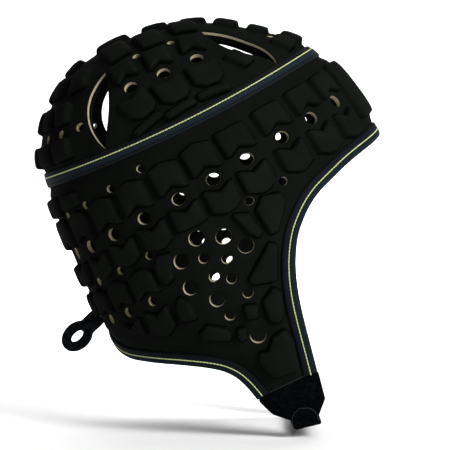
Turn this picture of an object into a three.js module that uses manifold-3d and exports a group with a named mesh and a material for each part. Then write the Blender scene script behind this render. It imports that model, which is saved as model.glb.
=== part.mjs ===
// Padded head guard for a goalkeeper: moulded foam panels, taped seam, bound edges, chin strap and nape loop.
// Lengths are millimetres and angles degrees. X points to the front, Y to the wearer's left and Z up.
import * as THREE from 'three';
import { mergeVertices } from 'three/addons/utils/BufferGeometryUtils.js';
import Module from 'manifold-3d';

const wasm = await Module();
wasm.setup();

// Driving sizes
const TILT = 26;            // the seam rises towards the forehead by this angle
const ARC = 563;            // once round the band, measured along its pattern
const PERIODS = 24;         // block columns once round the band
const PERIOD = ARC / PERIODS;
const EAR_COLUMN = 6;       // the block column over the ear
const WALL = 4;             // foam between the blocks
const BLOCK_HEIGHT = 5.5;   // how far a block stands out of the wall
const BLOCK_ROOT = 2.5;     // how deep a block is rooted in the wall
const BLOCK_SHARE = 0.82;   // a block's share of its column's width
const DRAFT = 2.6;          // how far a block's corners are drawn in at its top
const GAP = 0.35;           // clearance between neighbouring pieces
const CUT = 9;              // reach of a hole's cutter to either side of the skin
const TAPE = 1;             // thickness of tape and binding
const TAPE_RISE = 4;        // seam tape above the seam
const TAPE_DROP = 6;        // seam tape below the seam
const BINDING_WIDTH = 8.5;  // how far a binding laps onto the foam
const BINDING_GAP = 0.6;    // slack between a binding's leaves and the foam
const SLOT_WIDTH = 15;      // widest part of a crown slot
const SLOT_FOOT = 4.6;      // a slot starts this far above the seam
const TAB_EDGE = 175.5;     // drop at which the foam ends and the chin tab begins
const TAB_THICKNESS = 4;
const STRAP_WIDTH = 17;
const STRAP_THICKNESS = 2;
const LACE_THICKNESS = 2.4;
const LOOP_RADIUS = 11;     // outside of the nape loop
const SEAM_DIP = 6;         // the seam hangs lower over the ears
const DIP_FADE = 60;
const OVAL = 0.05;          // the head is narrower in front than behind
const CROWDING = 0.023;     // columns stand this much closer over the ear
const NEAR_MIDDLE = 0.25;   // columns this close to the middle line stand on it
const BIG_HOLE = 8.5;       // holes from this size have five sides, smaller ones four

// Level sections of the band's outer skin: drop below the seam, rear and front reach, half width.
const BAND_SECTIONS = [
  { drop: 0, back: -90.5, front: 92.5, half: 73 },
  { drop: 18, back: -92.5, front: 99.5, half: 76.5 },
  { drop: 38, back: -94, front: 104, half: 78 },
  { drop: 62, back: -95.5, front: 107, half: 78.5 },
  { drop: 90, back: -96.5, front: 107.5, half: 77 },
  { drop: 120, back: -97, front: 106, half: 73 },
  { drop: 150, back: -93, front: 104, half: 66 },
  { drop: 180, back: -91, front: 102, half: 56.5 },
  { drop: 216, back: -89, front: 100, half: 44 },
];

// Level sections of the crown's outer skin, evenly spaced from the seam to the apex.
const CROWN_SECTIONS = [
  { rise: 0, back: -90.5, front: 92.5, half: 73 },
  { rise: 12, back: -87, front: 81.5, half: 70.5 },
  { rise: 22, back: -81, front: 68.5, half: 66 },
  { rise: 32, back: -73, front: 56, half: 58.5 },
  { rise: 41, back: -62, front: 42, half: 48 },
  { rise: 48, back: -50, front: 24, half: 34.5 },
  { rise: 52.5, back: -37, front: 6, half: 19.5 },
  { rise: 54.5, back: -16, front: -16, half: 0 },
];

// Way from the apex to the seam over the crown.
const CROWN_REACH = { front: 125, side: 107, back: 100 };

// The band's lower edge on one side, from the brow round the cheek tip to the nape.
const FACE_EDGE = [
  { along: 0, drop: 66 },
  { along: 54, drop: 70 },
  { along: 81, drop: 75.5 },
  { along: 97, drop: 81.5 },
  { along: 110, drop: 92 },
  { along: 118, drop: 104 },
  { along: 124.5, drop: 120.5 },
  { along: 131, drop: 144.5 },
  { along: 137, drop: TAB_EDGE },
];
const NECK_EDGE = [
  { along: 177, drop: TAB_EDGE },
  { along: 179.5, drop: 164.5 },
  { along: 183.5, drop: 155.5 },
  { along: 191.5, drop: 147.5 },
  { along: 209, drop: 137.5 },
  { along: 231, drop: 128.5 },
  { along: 250, drop: 122.5 },
  { along: 266, drop: 116.5 },
  { along: ARC / 2, drop: 110 },
];

// The chin tab's lower outline, from its front corner to its rear one.
const TAB_OUTLINE = [
  { along: 137, drop: 179 },
  { along: 140, drop: 194 },
  { along: 148, drop: 202 },
  { along: 163, drop: 199 },
  { along: 173, drop: 189 },
  { along: 176.5, drop: 179 },
];

// Block rows of the band. Drops are given at the brow, over the ear and at the nape.
// peak and notch bend the middle of the top and bottom edges down, where they have one.
// gather draws the columns towards the ear, but a column near the middle line stands on it.
const BAND_ROWS = [
  { top: { front: 10.5, side: 10.5, back: 12.5 }, bottom: { front: 12, side: 12, back: 26 },
    gather: 1, first: 10, last: 12 },
  { top: { front: 12.5, side: 16.5, back: 28 }, bottom: { front: 31, side: 37.5, back: 47.5 },
    notch: -5, gather: 1, first: 0, last: 12 },
  { top: { front: 39.5, side: 45.5, back: 55.5 }, bottom: { front: 53.5, side: 63.5, back: 70 },
    peak: 4.5, gather: 0.97, first: 0, last: 12 },
  { top: { front: 70, side: 70, back: 76 }, bottom: { front: 90, side: 93, back: 86 },
    gather: 0.92, first: 9, last: 12 },
  { top: { front: 99, side: 99, back: 99 }, bottom: { front: 113, side: 113, back: 104 },
    gather: 0.92, first: 9, last: 10 },
];

// Hole rows of the band, placed as the block rows are. Pinholes of 5 and less are left out.
const BAND_HOLES = [
  { drop: { front: 32, side: 40.5, back: 50 }, size: 8, gather: 1, first: 0, last: 12 },
  { drop: { front: 90, side: 92, back: 95.5 }, size: 6, gather: 0.92, first: 9, last: 11 },
];

// Holes over the ear and on the cheek.
const EAR_HOLES = [
  { along: 165, drop: 71, size: 9 }, { along: 151, drop: 77, size: 9 },
  { along: 142, drop: 87.5, size: 9 }, { along: 178.5, drop: 79.5, size: 9 },
  { along: 180, drop: 96, size: 9 }, { along: 168.5, drop: 109, size: 9 },
  { along: 158, drop: 139.5, size: 9 }, { along: 166, drop: 83.5, size: 6 },
  { along: 154.5, drop: 89.5, size: 6 }, { along: 165, drop: 96, size: 6 },
  { along: 156.5, drop: 101.5, size: 6 }, { along: 151.5, drop: 113.5, size: 6 },
  { along: 166, drop: 121, size: 6 },
];

// Free-form blocks on the ear flap and cheek: centre, width at top and bottom, length and turn.
const CHEEK_BLOCKS = [
  { along: 137, drop: 76.5, top: 10, bottom: 6, length: 17, turn: 20 },
  { along: 121.5, drop: 77, top: 16, bottom: 8, length: 21, turn: -15 },
  { along: 137.5, drop: 103, top: 6, bottom: 15, length: 19, turn: -28 },
  { along: 142, drop: 127, top: 9, bottom: 10, length: 19, turn: -22 },
  { along: 154.5, drop: 124, top: 8.5, bottom: 7.5, length: 9, turn: -20 },
  { along: 152, drop: 156, top: 11, bottom: 18, length: 24, turn: -18 },
  { along: 178.5, drop: 127, top: 15, bottom: 17, length: 9.5, turn: -27 },
  { along: 165, drop: 134, top: 6.5, bottom: 6, length: 8, turn: -20 },
  { along: 187, drop: 78, top: 10.5, bottom: 10, length: 18, turn: -14 },
  { along: 188, drop: 106, top: 7, bottom: 11, length: 15, turn: 4 },
];

// Side arms of the crown: block rows by rise above the seam, and the columns' places along X.
const SIDE_COLUMNS = [-16.5, 4.5, 26];
const SIDE_ROWS = [
  { from: 7, to: 11.5 }, { from: 12.5, to: 33.5 }, { from: 43, to: 61 }, { from: 65.5, to: 88 },
];
const SIDE_HOLES = { rise: 38, size: 8 };
const SIDE_BLOCK = 17.5;

// Rear and front arms of the crown: rows by rise, columns by angle from the front, block width.
const ARM_ROWS = [
  { from: 7.5, to: 21, width: 14.5, angles: [142.5, 157.5, 172.5] },
  { from: 31, to: 46, width: 12.5, angles: [140, 155, 171.5] },
  { from: 52, to: 68, width: 15, angles: [130, 155, 180] },
  { from: 8, to: 22.5, width: 13.5, angles: [7.5, 23] },
  { from: 30, to: 45, width: 15, angles: [9] },
  { from: 51, to: 67, width: 14.5, angles: [11] },
  { from: 12.5, to: 30, width: 10.5, angles: [51] },
];
const ARM_HOLES = [
  { rise: 26, size: 6, angles: [129, 142.5, 157.5, 172.5] },
  { rise: 26, size: 6, angles: [0, 16] },
  { rise: 48, size: 6, angles: [0] },
];

// Blocks on the crown's middle line, by their place ahead of the apex.
const RIDGE_BLOCKS = [-22, 0, 22, 44];
const RIDGE_SIZE = { long: 16.5, wide: 20 };

// The four pointed slots that let the crown curve, as foot and tip on one side.
const SLOTS = [
  { footAngle: 121, tipAngle: 109, tipRise: 60 },
  { footAngle: 40, tipAngle: 38, tipRise: 63 },
];

const rad = THREE.MathUtils.degToRad;

// A value that changes smoothly from the brow over the ear to the nape.
function around(values, angle) {
  const ahead = Math.cos(angle);
  const swing = (values.front - values.back) / 2;
  const bend = (values.front + values.back) / 2 - values.side;
  return values.side + swing * ahead + bend * ahead * ahead;
}

// Direction from the head's middle for a place along the band's pattern.
function bandAngle(along) {
  const even = (2 * Math.PI * along) / ARC;
  return even + CROWDING * Math.sin(2 * even);
}

// A point of an oval section, the right side at positive angles.
function ovalPoint(section, angle, height) {
  const [back, front, half] = section;
  const x = (front + back) / 2 + ((front - back) / 2) * Math.cos(angle);
  const y = -half * Math.sin(angle) * (1 - OVAL * Math.cos(angle));
  return new THREE.Vector3(x, y, height);
}

const bandSections = new THREE.CubicInterpolant(
  BAND_SECTIONS.map((row) => row.drop),
  BAND_SECTIONS.flatMap((row) => [row.back, row.front, row.half]),
  3,
);

// Outer skin of the band at a place along the pattern and a drop below the seam.
function bandSkin(along, drop) {
  const angle = bandAngle(along);
  const dip = SEAM_DIP * Math.sin(angle) ** 2 * Math.max(0, 1 - drop / DIP_FADE);
  return ovalPoint(bandSections.evaluate(drop), angle, -drop - dip);
}

// The crown's sections from the apex outwards, with one mirrored past the apex to keep the top level.
const outward = CROWN_SECTIONS.toReversed();
const besideApex = outward[1];
const pastApex = {
  rise: besideApex.rise, back: besideApex.front, front: besideApex.back, half: -besideApex.half,
};
const crownSections = new THREE.CubicInterpolant(
  [pastApex, ...outward].map((row, index) => (index - 1) / (CROWN_SECTIONS.length - 1)),
  [pastApex, ...outward].flatMap((row) => [row.back, row.front, row.half, row.rise]),
  4,
);

// Outer skin of the crown, from flat pattern places ahead of and to the right of the apex.
function crownSkin(ahead, right) {
  const angle = Math.atan2(right, ahead);
  const far = Math.hypot(ahead, right) / around(CROWN_REACH, angle);
  const section = crownSections.evaluate(far);
  const dip = SEAM_DIP * (Math.sin(angle) * far) ** 2;
  return ovalPoint(section, angle, section[3] - dip);
}

// A point off a skin by a lift along its outward normal.
const SLOPE_STEP = 0.4;

function lifted(skin, first, second, lift) {
  const across = skin(first + SLOPE_STEP, second).sub(skin(first - SLOPE_STEP, second));
  const down = skin(first, second + SLOPE_STEP).sub(skin(first, second - SLOPE_STEP));
  const normal = across.cross(down).normalize();
  return skin(first, second).addScaledVector(normal, lift);
}

// Points off the band and the crown. The crown's pattern axes turn the other way round the normal.
const onBand = (along, drop, lift) => lifted(bandSkin, along, drop, lift);
const onCrown = (ahead, right, lift) => lifted(crownSkin, ahead, right, -lift);

// A point on the joint between crown and band: off the seam level with it, and up by a rise.
const ANGLE_STEP = 0.01;

function onSeam(angle, lift, rise) {
  const seam = bandSections.evaluate(0);
  const dip = SEAM_DIP * Math.sin(angle) ** 2;
  const before = ovalPoint(seam, angle - ANGLE_STEP, 0);
  const after = ovalPoint(seam, angle + ANGLE_STEP, 0);
  const level = after.sub(before).cross(new THREE.Vector3(0, 0, -1)).normalize();
  return ovalPoint(seam, angle, rise - dip).addScaledVector(level, lift);
}

// Flat crown place at an angle from the front and a rise above the seam.
function crownPlace(angle, rise) {
  const far = around(CROWN_REACH, angle) - rise;
  return new THREE.Vector2(far * Math.cos(angle), far * Math.sin(angle));
}

// How much wider the flat pattern is than the dome, across the radius at a flat place.
function patternStretch(place) {
  const out = place.clone().normalize();
  const side = new THREE.Vector2(-out.y, out.x);
  const ends = [1, -1].map((way) => place.clone().addScaledVector(side, way));
  return 2 / crownSkin(ends[0].x, ends[0].y).distanceTo(crownSkin(ends[1].x, ends[1].y));
}

// Corners of a crown block or hole in the flat pattern, with true sizes on the dome.
// Each corner is given across the block and towards its upper end, which points along up.
function crownCorners(place, up, corners) {
  if (place.length() < 1) return corners.map(([wide, long]) => [place.x + long, place.y + wide]);
  const out = place.clone().normalize();
  const side = new THREE.Vector2(-out.y, out.x);
  const stretch = patternStretch(place);
  return corners.map(([wide, long]) => {
    const offset = new THREE.Vector2(-up.y * wide + up.x * long, up.x * wide + up.y * long);
    const corner = place.clone().addScaledVector(out, offset.dot(out));
    corner.addScaledVector(side, offset.dot(side) * stretch);
    return [corner.x, corner.y];
  });
}

// Closed mesh from vertex and triangle lists, with its triangles turned outwards.
function closedGeometry(points, triangles) {
  let volume = 0;
  for (const [a, b, c] of triangles) {
    volume += points[a].dot(new THREE.Vector3().crossVectors(points[b], points[c]));
  }
  const faces = volume > 0 ? triangles : triangles.map(([a, b, c]) => [a, c, b]);
  const geometry = new THREE.BufferGeometry();
  geometry.setAttribute('position', new THREE.Float32BufferAttribute(points.flatMap((p) => p.toArray()), 3));
  geometry.setIndex(faces.flat());
  return geometry;
}

// Prism between two equal rings of points.
function prism(low, high) {
  const count = low.length;
  const centre = low.reduce((sum, point) => sum.add(point), new THREE.Vector3()).divideScalar(count);
  const normal = new THREE.Vector3();
  low.forEach((point, i) => {
    const next = low[(i + 1) % count].clone().sub(centre);
    normal.add(point.clone().sub(centre).cross(next));
  });
  normal.normalize();
  const axis = low[0].clone().sub(centre).projectOnPlane(normal).normalize();
  const other = normal.clone().cross(axis);
  const flat = low.map((point) => {
    const offset = point.clone().sub(centre);
    return new THREE.Vector2(offset.dot(axis), offset.dot(other));
  });
  const caps = THREE.ShapeUtils.triangulateShape(flat, []);
  const triangles = [];
  for (const [a, b, c] of caps) triangles.push([a, c, b], [a + count, b + count, c + count]);
  for (let i = 0; i < count; i++) {
    const j = (i + 1) % count;
    triangles.push([i, j, j + count], [i, j + count, i + count]);
  }
  return closedGeometry([...low, ...high], triangles);
}

// Solid swept through rings of points; a closed sweep joins its last ring to its first.
function sweep(rings, closed) {
  const sides = rings[0].length;
  const triangles = [];
  const last = closed ? rings.length : rings.length - 1;
  for (let r = 0; r < last; r++) {
    for (let s = 0; s < sides; s++) {
      const here = r * sides;
      const there = ((r + 1) % rings.length) * sides;
      const next = (s + 1) % sides;
      triangles.push([here + s, here + next, there + next], [here + s, there + next, there + s]);
    }
  }
  if (!closed) {
    const tail = (rings.length - 1) * sides;
    for (const [a, b, c] of capTriangles(sides)) triangles.push([a, c, b], [tail + a, tail + b, tail + c]);
  }
  return closedGeometry(rings.flat(), triangles);
}

// Cap of a strip section: rings run along one face and back along the other, so opposite points pair up.
function capTriangles(sides) {
  const triangles = [];
  for (let i = 0; i < sides / 2 - 1; i++) {
    const j = sides - 1 - i;
    triangles.push([i, i + 1, j - 1], [i, j - 1, j]);
  }
  return triangles;
}

// Wall between a skin's two lifts: columns of places, each a list from its upper to its lower edge.
function wall(on, columns, inner, outer, closed) {
  const rings = columns.map((column) => [
    ...column.map(([first, second]) => on(first, second, outer)),
    ...column.toReversed().map(([first, second]) => on(first, second, inner)),
  ]);
  return sweep(rings, closed);
}

function toSolid(geometry) {
  const plain = mergeVertices(geometry, 1e-4);
  return new wasm.Manifold(new wasm.Mesh({
    numProp: 3,
    vertProperties: new Float32Array(plain.attributes.position.array),
    triVerts: new Uint32Array(plain.index.array),
  }));
}

function toGeometry(solid) {
  const mesh = solid.getMesh();
  const geometry = new THREE.BufferGeometry();
  geometry.setAttribute('position', new THREE.BufferAttribute(new Float32Array(mesh.vertProperties), 3));
  geometry.setIndex(new THREE.BufferAttribute(new Uint32Array(mesh.triVerts), 1));
  return geometry;
}

// A block standing on a skin, drawn in towards its top.
function block(on, corners) {
  const foot = corners.map(([first, second]) => new THREE.Vector2(first, second));
  const middle = foot.reduce((sum, corner) => sum.add(corner), new THREE.Vector2()).divideScalar(foot.length);
  const size = foot.reduce((sum, corner) => sum + corner.distanceTo(middle), 0) / foot.length;
  const top = foot.map((corner) => middle.clone().lerp(corner, 1 - DRAFT / size));
  const low = foot.map((corner) => on(corner.x, corner.y, -BLOCK_ROOT));
  const high = top.map((corner) => on(corner.x, corner.y, BLOCK_HEIGHT));
  return toSolid(prism(low, high));
}

// A cutter through a skin.
function cutter(on, corners) {
  const low = corners.map(([first, second]) => on(first, second, -CUT));
  const high = corners.map(([first, second]) => on(first, second, CUT));
  return toSolid(prism(low, high));
}

function roundCorners(size) {
  const count = size < BIG_HOLE ? 4 : 5;
  return Array.from({ length: count }, (_, i) => {
    const turn = (2 * Math.PI * i) / count;
    return [(size / 2) * Math.cos(turn), (size / 2) * Math.sin(turn)];
  });
}

const bothSides = [1, -1];
const mirrored = (corners, side) => corners.map(([first, second]) => [first * side, second]);
const mirroredCrown = (corners, side) => corners.map(([ahead, right]) => [ahead, right * side]);

// Columns of a row that stand on both sides, without doubling those on the middle line.
function rowPlaces(row) {
  const places = [];
  for (let k = row.first; k <= row.last; k++) {
    const column = EAR_COLUMN + (k - EAR_COLUMN) * row.gather;
    const middle = column < EAR_COLUMN ? 0 : PERIODS / 2;
    if (Math.abs(column - middle) < NEAR_MIDDLE) places.push(middle * PERIOD);
    else for (const side of bothSides) places.push(side * column * PERIOD);
  }
  return places;
}

// Lower edge of the band as a smooth curve, sampled from the brow to the nape on one side.
const asVector = (row) => new THREE.Vector2(row.along, row.drop);
const faceCurve = new THREE.SplineCurve(FACE_EDGE.map(asVector));
const neckCurve = new THREE.SplineCurve(NECK_EDGE.map(asVector));

// A curve's points moved inwards by an inset, on the left of its direction.
function insetPoints(curve, divisions, inset) {
  return Array.from({ length: divisions + 1 }, (_, i) => {
    const t = i / divisions;
    const tangent = curve.getTangentAt(t);
    return curve.getPointAt(t).add(new THREE.Vector2(tangent.y, -tangent.x).multiplyScalar(inset));
  });
}

const EDGE_INSET = TAPE + GAP;
const FACE_DIVISIONS = 10;
const NECK_DIVISIONS = 7;
const BAND_ROW_COUNT = 4;

function bandWall() {
  const face = insetPoints(faceCurve, FACE_DIVISIONS, EDGE_INSET);
  const neck = insetPoints(neckCurve, NECK_DIVISIONS, EDGE_INSET);
  const tip = face.at(-1).clone().lerp(neck[0], 0.5);
  const half = [...face, tip, ...neck];
  half[0].x = 0;
  half.at(-1).x = ARC / 2;
  const left = half.slice(1, -1).toReversed().map((point) => new THREE.Vector2(-point.x, point.y));
  const rows = Array.from({ length: BAND_ROW_COUNT + 1 }, (_, i) => i / BAND_ROW_COUNT);
  const columns = [...half, ...left].map((edge) => rows.map((share) => [edge.x, share * edge.y]));
  const on = (along, drop, lift) => {
    if (drop === 0) return onSeam(bandAngle(along), lift, -GAP / 2);
    return onBand(along, drop, lift);
  };
  return toSolid(wall(on, columns, -WALL, 0, true));
}

function bandBlocks() {
  const half = (BLOCK_SHARE * PERIOD) / 2;
  const blocks = [];
  for (const row of BAND_ROWS) {
    for (const along of rowPlaces(row)) {
      const angle = bandAngle(along);
      const top = around(row.top, angle);
      const bottom = around(row.bottom, angle);
      const upper = [[along - half, top], [along + half, top]];
      const lower = [[along + half, bottom], [along - half, bottom]];
      if (row.peak) upper.splice(1, 0, [along, top + row.peak]);
      if (row.notch) lower.splice(1, 0, [along, bottom + row.notch]);
      blocks.push(block(onBand, [...upper, ...lower]));
    }
  }
  for (const { along, drop, top, bottom, length, turn } of CHEEK_BLOCKS) {
    const [halfTop, halfBottom, halfLong] = [top / 2, bottom / 2, length / 2];
    const upper = [[-halfTop, -halfLong], [halfTop, -halfLong]];
    const corners = [...upper, [halfBottom, halfLong], [-halfBottom, halfLong]];
    const [c, s] = [Math.cos(rad(turn)), Math.sin(rad(turn))];
    const turned = corners.map(([x, y]) => [along + x * c - y * s, drop + x * s + y * c]);
    for (const side of bothSides) blocks.push(block(onBand, mirrored(turned, side)));
  }
  return blocks;
}

function bandCutters() {
  const cutters = [];
  for (const row of BAND_HOLES) {
    for (const along of rowPlaces(row)) {
      const drop = around(row.drop, bandAngle(along));
      cutters.push(cutter(onBand, roundCorners(row.size).map(([x, y]) => [along + x, drop + y])));
    }
  }
  for (const { along, drop, size } of EAR_HOLES) {
    const corners = roundCorners(size).map(([x, y]) => [along + x, drop + y]);
    for (const side of bothSides) cutters.push(cutter(onBand, mirrored(corners, side)));
  }
  return cutters;
}

const CROWN_SPOKES = 20;
const CROWN_RINGS = 4;
const TAPE_STEPS = 2 * CROWN_SPOKES;

// Crown wall: rings of the dome from a small cap at the apex out to the seam.
function crownWall() {
  const points = [];
  const triangles = [];
  const skins = [0, -WALL];
  for (const lift of skins) {
    points.push(onCrown(0, 0, lift));
    for (let ring = 1; ring <= CROWN_RINGS; ring++) {
      for (let spoke = 0; spoke < CROWN_SPOKES; spoke++) {
        const angle = (2 * Math.PI * spoke) / CROWN_SPOKES;
        const place = crownPlace(angle, 0).multiplyScalar(ring / CROWN_RINGS);
        const atSeam = ring === CROWN_RINGS;
        points.push(atSeam ? onSeam(angle, lift, GAP / 2) : onCrown(place.x, place.y, lift));
      }
    }
  }
  const perSkin = 1 + CROWN_RINGS * CROWN_SPOKES;
  const at = (skin, ring, spoke) => {
    const inSkin = ring ? 1 + (ring - 1) * CROWN_SPOKES + (spoke % CROWN_SPOKES) : 0;
    return skin * perSkin + inSkin;
  };
  for (let spoke = 0; spoke < CROWN_SPOKES; spoke++) {
    for (const skin of [0, 1]) {
      const turned = ([a, b, c]) => (skin ? [a, c, b] : [a, b, c]);
      triangles.push(turned([at(skin, 0, 0), at(skin, 1, spoke + 1), at(skin, 1, spoke)]));
      for (let ring = 1; ring < CROWN_RINGS; ring++) {
        const [a, b] = [at(skin, ring, spoke), at(skin, ring, spoke + 1)];
        const [c, d] = [at(skin, ring + 1, spoke), at(skin, ring + 1, spoke + 1)];
        triangles.push(turned([a, b, d]), turned([a, d, c]));
      }
    }
    const [a, b] = [at(0, CROWN_RINGS, spoke), at(0, CROWN_RINGS, spoke + 1)];
    const [c, d] = [at(1, CROWN_RINGS, spoke), at(1, CROWN_RINGS, spoke + 1)];
    triangles.push([a, b, d], [a, d, c]);
  }
  return toSolid(closedGeometry(points, triangles));
}

function oblong(wide, long) {
  const [w, l] = [wide / 2, long / 2];
  return [[-w, -l], [w, -l], [w, l], [-w, l]];
}

// Angle from the front of a crown place with a given X and rise above the seam.
function angleAtX(x, rise) {
  let [low, high] = [0, Math.PI];
  for (let i = 0; i < 30; i++) {
    const middle = (low + high) / 2;
    const place = crownPlace(middle, rise);
    if (crownSkin(place.x, place.y).x > x) low = middle;
    else high = middle;
  }
  return (low + high) / 2;
}

// Corners of the crown's blocks on one side and the middle line, in the flat pattern.
function crownBlockOutlines() {
  const outlines = [];
  const inwards = new THREE.Vector2(0, -1);
  for (const { from, to } of SIDE_ROWS) {
    for (const x of SIDE_COLUMNS) {
      const rise = (from + to) / 2;
      const place = crownPlace(angleAtX(x, rise), rise);
      outlines.push(crownCorners(place, inwards, oblong(SIDE_BLOCK, to - from)));
    }
  }
  for (const { from, to, width, angles } of ARM_ROWS) {
    for (const degrees of angles) {
      const place = crownPlace(rad(degrees), (from + to) / 2);
      outlines.push(crownCorners(place, place.clone().normalize().negate(), oblong(width, to - from)));
    }
  }
  for (const ahead of RIDGE_BLOCKS) {
    const place = new THREE.Vector2(ahead, 0);
    outlines.push(crownCorners(place, new THREE.Vector2(1, 0), oblong(RIDGE_SIZE.wide, RIDGE_SIZE.long)));
  }
  return outlines;
}

function crownHoleOutlines() {
  const outlines = [];
  const inwards = new THREE.Vector2(0, -1);
  for (const x of SIDE_COLUMNS) {
    const place = crownPlace(angleAtX(x, SIDE_HOLES.rise), SIDE_HOLES.rise);
    outlines.push(crownCorners(place, inwards, roundCorners(SIDE_HOLES.size)));
  }
  for (const { rise, size, angles } of ARM_HOLES) {
    for (const degrees of angles) {
      const place = crownPlace(rad(degrees), rise);
      outlines.push(crownCorners(place, place.clone().normalize().negate(), roundCorners(size)));
    }
  }
  return outlines;
}

// Pointed lens between a slot's foot and tip.
function slotOutline({ footAngle, tipAngle, tipRise }) {
  const foot = crownPlace(rad(footAngle), SLOT_FOOT);
  const tip = crownPlace(rad(tipAngle), tipRise);
  const middle = foot.clone().lerp(tip, 0.5);
  const half = (SLOT_WIDTH / 2) * patternStretch(middle);
  const way = tip.clone().sub(foot).normalize();
  const side = new THREE.Vector2(-way.y, way.x);
  const shares = [0, 0.2, 0.4, 0.6, 0.8, 1];
  const edge = (sign) => shares.map((t) => {
    const bulge = sign * half * 4 * t * (1 - t);
    return foot.clone().lerp(tip, t).addScaledVector(side, bulge);
  });
  const lens = [...edge(1), ...edge(-1).slice(1, -1).toReversed()];
  return lens.map((point) => [point.x, point.y]);
}

// Both sides of outlines that aren't on the middle line.
function eachSide(outlines) {
  return outlines.flatMap((outline) => {
    const offMiddle = Math.abs(outline.reduce((sum, corner) => sum + corner[1], 0)) > 1;
    return (offMiddle ? bothSides : [1]).map((side) => mirroredCrown(outline, side));
  });
}

function crownPanel() {
  const blocks = eachSide(crownBlockOutlines()).map((outline) => block(onCrown, outline));
  const holes = eachSide([...crownHoleOutlines(), ...SLOTS.map(slotOutline)]);
  const cutters = holes.map((outline) => cutter(onCrown, outline));
  return toGeometry(cutAll(joinAll(crownWall(), blocks), cutters));
}

const joinAll = (solid, others) => others.reduce((sum, other) => sum.add(other), solid);
const cutAll = (solid, others) => others.reduce((rest, other) => rest.subtract(other), solid);

const bandPanel = () => toGeometry(cutAll(joinAll(bandWall(), bandBlocks()), bandCutters()));

// Flat tape over the seam, bent with the crown above and the band below.
function seamTape() {
  const rings = Array.from({ length: TAPE_STEPS }, (_, i) => {
    const along = (i * ARC) / TAPE_STEPS;
    const angle = bandAngle(along);
    const place = crownPlace(angle, TAPE_RISE);
    const face = (lift) => [
      onCrown(place.x, place.y, lift), onSeam(angle, lift, 0), onBand(along, TAPE_DROP, lift),
    ];
    return [...face(GAP + TAPE), ...face(GAP).toReversed()];
  });
  return sweep(rings, true);
}

// Folded tape round an edge: outer leaf, fold and inner leaf, as inset from the edge and lift.
const INNER_LEAF = -WALL - 2 * BINDING_GAP;
const FOLD = [
  { inset: BINDING_WIDTH, lift: BINDING_GAP + TAPE }, { inset: 0, lift: BINDING_GAP + TAPE },
  { inset: 0, lift: INNER_LEAF - TAPE }, { inset: BINDING_WIDTH, lift: INNER_LEAF - TAPE },
  { inset: BINDING_WIDTH, lift: INNER_LEAF }, { inset: TAPE, lift: INNER_LEAF },
  { inset: TAPE, lift: BINDING_GAP }, { inset: BINDING_WIDTH, lift: BINDING_GAP },
];

// Binding along an edge curve, with its mirror image joined to it on the middle line.
function binding(curve, divisions, middleAtStart) {
  const rows = FOLD.map(({ inset }) => insetPoints(curve, divisions, inset));
  const side = Array.from({ length: divisions + 1 }, (_, i) => FOLD.map(({ lift }, f) => {
    const place = rows[f][i];
    return { along: place.x, drop: place.y, lift };
  }));
  const fromMiddle = middleAtStart ? side : side.toReversed();
  const middleAlong = middleAtStart ? 0 : ARC / 2;
  for (const corner of fromMiddle[0]) corner.along = middleAlong;
  const turnedOver = (ring) => ring.map((corner) => ({ ...corner, along: -corner.along }));
  const other = fromMiddle.slice(1).map(turnedOver).toReversed();
  const rings = [...other, ...fromMiddle].map((ring) => {
    return ring.map(({ along, drop, lift }) => onBand(along, drop, lift));
  });
  return sweep(rings, false);
}

// Chin tab below the cheek tip.
const TAB_COLUMNS = 8;

function chinTab(side) {
  const curve = new THREE.SplineCurve(TAB_OUTLINE.map(asVector));
  const places = Array.from({ length: TAB_COLUMNS + 1 }, (_, i) => {
    const edge = curve.getPointAt(i / TAB_COLUMNS);
    return [0, 0.5, 1].map((t) => [side * edge.x, THREE.MathUtils.lerp(TAB_EDGE + GAP, edge.y, t)]);
  });
  const outer = (TAB_THICKNESS - WALL) / 2;
  return wall(onBand, places, outer - TAB_THICKNESS, outer, false);
}

// The strap's way from its end on the right tab down to its tip, then straight under the chin.
const STRAP_WAY = [
  { along: 154.5, drop: 191 },
  { along: 155.8, drop: 196 },
  { along: 156.7, drop: 200.2 },
];
const STRAP_TURN = THREE.MathUtils.degToRad(12.5);
const STRAP_SAG = 1;
const STRAP_BEND = 2.8;     // how far the strap goes in and down as it turns under the tab
const STRAP_LIFT = 1.85;    // the strap's middle stands this far off the tab
const STRAP_END = 0.35;     // how wide the strap's rounded end starts, as a share of its width
const STRAP_STEPS = 20;

function chinStrap() {
  const down = STRAP_WAY.map(({ along, drop }) => onBand(along, drop, STRAP_LIFT));
  const corner = down.at(-1).clone();
  const under = corner.clone().add(new THREE.Vector3(0, STRAP_BEND, -STRAP_BEND));
  const bottom = new THREE.Vector3(under.x, 0, under.z - STRAP_SAG);
  const right = [...down, under];
  const left = right.map((point) => new THREE.Vector3(point.x, -point.y, point.z)).toReversed();
  const path = new THREE.CatmullRomCurve3([...right, bottom, ...left], false, 'centripetal');
  const forwards = new THREE.Vector3(Math.cos(STRAP_TURN), 0, -Math.sin(STRAP_TURN));
  const rings = Array.from({ length: STRAP_STEPS + 1 }, (_, i) => {
    const t = i / STRAP_STEPS;
    const fromEnd = (Math.min(t, 1 - t) * path.getLength()) / (STRAP_WIDTH / 2);
    const round = fromEnd < 1 ? Math.sqrt(1 - (1 - fromEnd) ** 2) : 1;
    const wide = forwards.clone().multiplyScalar((STRAP_WIDTH / 2) * Math.max(STRAP_END, round));
    const thick = path.getTangentAt(t).cross(forwards).setLength(STRAP_THICKNESS / 2);
    const [outside, inside] = [1, -1].map((way) => path.getPointAt(t).addScaledVector(thick, way));
    return [outside.clone().add(wide), outside.sub(wide), inside.clone().sub(wide), inside.add(wide)];
  });
  return sweep(rings, false);
}

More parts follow.
